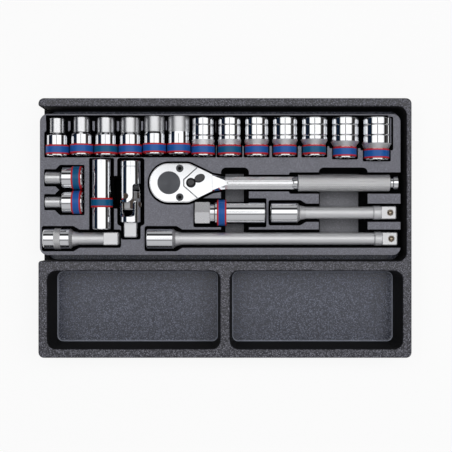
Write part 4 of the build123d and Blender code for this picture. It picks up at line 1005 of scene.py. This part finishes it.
def knurled_tube(name, start, centre, radius, length):
    """A tube along X with diamond points on it, in millimetres."""
    round_count = round(2 * math.pi * radius / DIAMOND_MM)
    row_count = round(length / DIAMOND_MM)
    row = length / row_count
    bpy.ops.object.select_all(action="DESELECT")
    bpy.ops.mesh.primitive_cylinder_add(
        vertices=round_count,
        radius=(radius + TUBE_LIFT_MM) * MM,
        depth=row * MM,
        end_fill_type="NOTHING",
        location=((start + row / 2) * MM, centre[0] * MM, centre[1] * MM),
        rotation=(0, math.radians(90), 0),
    )
    tube = bpy.context.object
    tube.name = name
    bpy.ops.object.transform_apply(location=True, rotation=True, scale=True)
    rows = tube.modifiers.new("rows", "ARRAY")
    rows.count = row_count
    rows.relative_offset_displace = (1, 0, 0)
    rows.use_merge_vertices = True
    rows.merge_threshold = MERGE_MM * MM
    bpy.ops.object.modifier_apply(modifier="rows")
    grid_count = len(tube.data.vertices)
    bpy.ops.object.mode_set(mode="EDIT")
    bpy.ops.mesh.select_mode(type="EDGE")
    bpy.ops.mesh.select_all(action="SELECT")
    bpy.ops.mesh.normals_make_consistent(inside=False)
    bpy.ops.mesh.poke()
    bpy.ops.mesh.select_all(action="DESELECT")
    bpy.ops.object.mode_set(mode="OBJECT")
    for edge in tube.data.edges:
        edge.select = max(edge.vertices) < grid_count
    bpy.ops.object.mode_set(mode="EDIT")
    bpy.ops.mesh.dissolve_edges(use_verts=False)
    bpy.ops.mesh.select_all(action="SELECT")
    bpy.ops.mesh.poke(offset=POINT_MM * MM)
    bpy.ops.object.mode_set(mode="OBJECT")
    print(name, "has", len(tube.data.polygons), "faces round", round_count, "by", row_count)
    return tube


print("diamonds:", DIAMOND_MM, "mm wide,", POINT_MM, "mm high")

# %% [markdown]
# ## Grip and ring
# The handle's grip and a narrow ring on the short bar have a knurl. Each tube lies on the plain
# cylinder of its solid, a hair outside it, and rides on the body that carries it, so that it
# lifts out with the tool.

# %% Grip of the ratchet and ring of the short bar
GRIP_RADIUS_MM, GRIP_TO_TAIL_MM = 8.25, 8.8
GRIP_LENGTH_MM, GRIP_EDGE_MM = 93.0, 0.8
RING_RADIUS_MM, RING_FROM_MM, RING_LENGTH_MM = 10.5, 10.8, 6.4

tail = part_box("ratchet_body")[1].x / MM
grip_start = tail - GRIP_TO_TAIL_MM - GRIP_LENGTH_MM + GRIP_EDGE_MM
grip_length = GRIP_LENGTH_MM - 2 * GRIP_EDGE_MM
handle_axis = (hub.y / MM, middle_of("extension_250mm").z / MM)
grip_knurl = knurled_tube("grip_knurl", grip_start, handle_axis, GRIP_RADIUS_MM, grip_length)
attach(grip_knurl, "ratchet")

ring_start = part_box("extension_75mm")[0].x / MM + RING_FROM_MM
bar = middle_of("extension_75mm")
bar_axis = (bar.y / MM, bar.z / MM)
ring_knurl = knurled_tube("bar_ring_knurl", ring_start, bar_axis, RING_RADIUS_MM, RING_LENGTH_MM)
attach(ring_knurl, "extension_75")

# %% [markdown]
# ## Plating of the knurls
# The tone follows the distance from the tube's axis: darker in the grooves and brighter on the
# points. Pointiness would find the points as well, but it depends on the mesh and is lost in the
# export.

# %% Plating of the knurls
GRIP_GROOVE = (0.84, 0.84, 0.85, 1.0)
RING_GROOVE = (0.80, 0.80, 0.81, 1.0)
POINT_TONE = (1.0, 1.0, 1.0, 1.0)
TONE_RISE_SHARE = 0.7
KNURL_GLOSS = (0.42, 0.5)
FLAT_IN_X = (0.0, 1.0, 1.0)


def knurled_chrome(name, centre, radius, groove_tone):
    """Satin plating, dark in the grooves and bright on the points."""
    material, tree, shader = new_finish(name, metallic=1.0)
    place = add_node(tree, "ShaderNodeTexCoord")
    on_axis = (0.0, centre[0] * MM, centre[1] * MM)
    reach = radius_from(tree, place, on_axis, FLAT_IN_X)
    groove = (radius + TUBE_LIFT_MM) * MM
    towards_point = fade(tree, (groove, groove + TONE_RISE_SHARE * POINT_MM * MM))
    link(tree, reach, "Value", towards_point, "Value")
    tone = two_tones(tree, groove_tone, POINT_TONE, towards_point, "Result")
    link(tree, tone, MIX_COLOUR, shader, "Base Color")
    leave_marks(tree, place, shader, KNURL_GLOSS)
    return material


grip_chrome = knurled_chrome("grip_knurl_chrome", handle_axis, GRIP_RADIUS_MM, GRIP_GROOVE)
grip_knurl.data.materials.append(grip_chrome)
ring_chrome = knurled_chrome("ring_knurl_chrome", bar_axis, RING_RADIUS_MM, RING_GROOVE)
ring_knurl.data.materials.append(ring_chrome)
print("plated:", grip_knurl.name, "and", ring_knurl.name)

# %% [markdown]
# ## Materials
# The last cell prints how many materials the scene holds.

# %% Count the materials
print("materials:", len(bpy.data.materials))
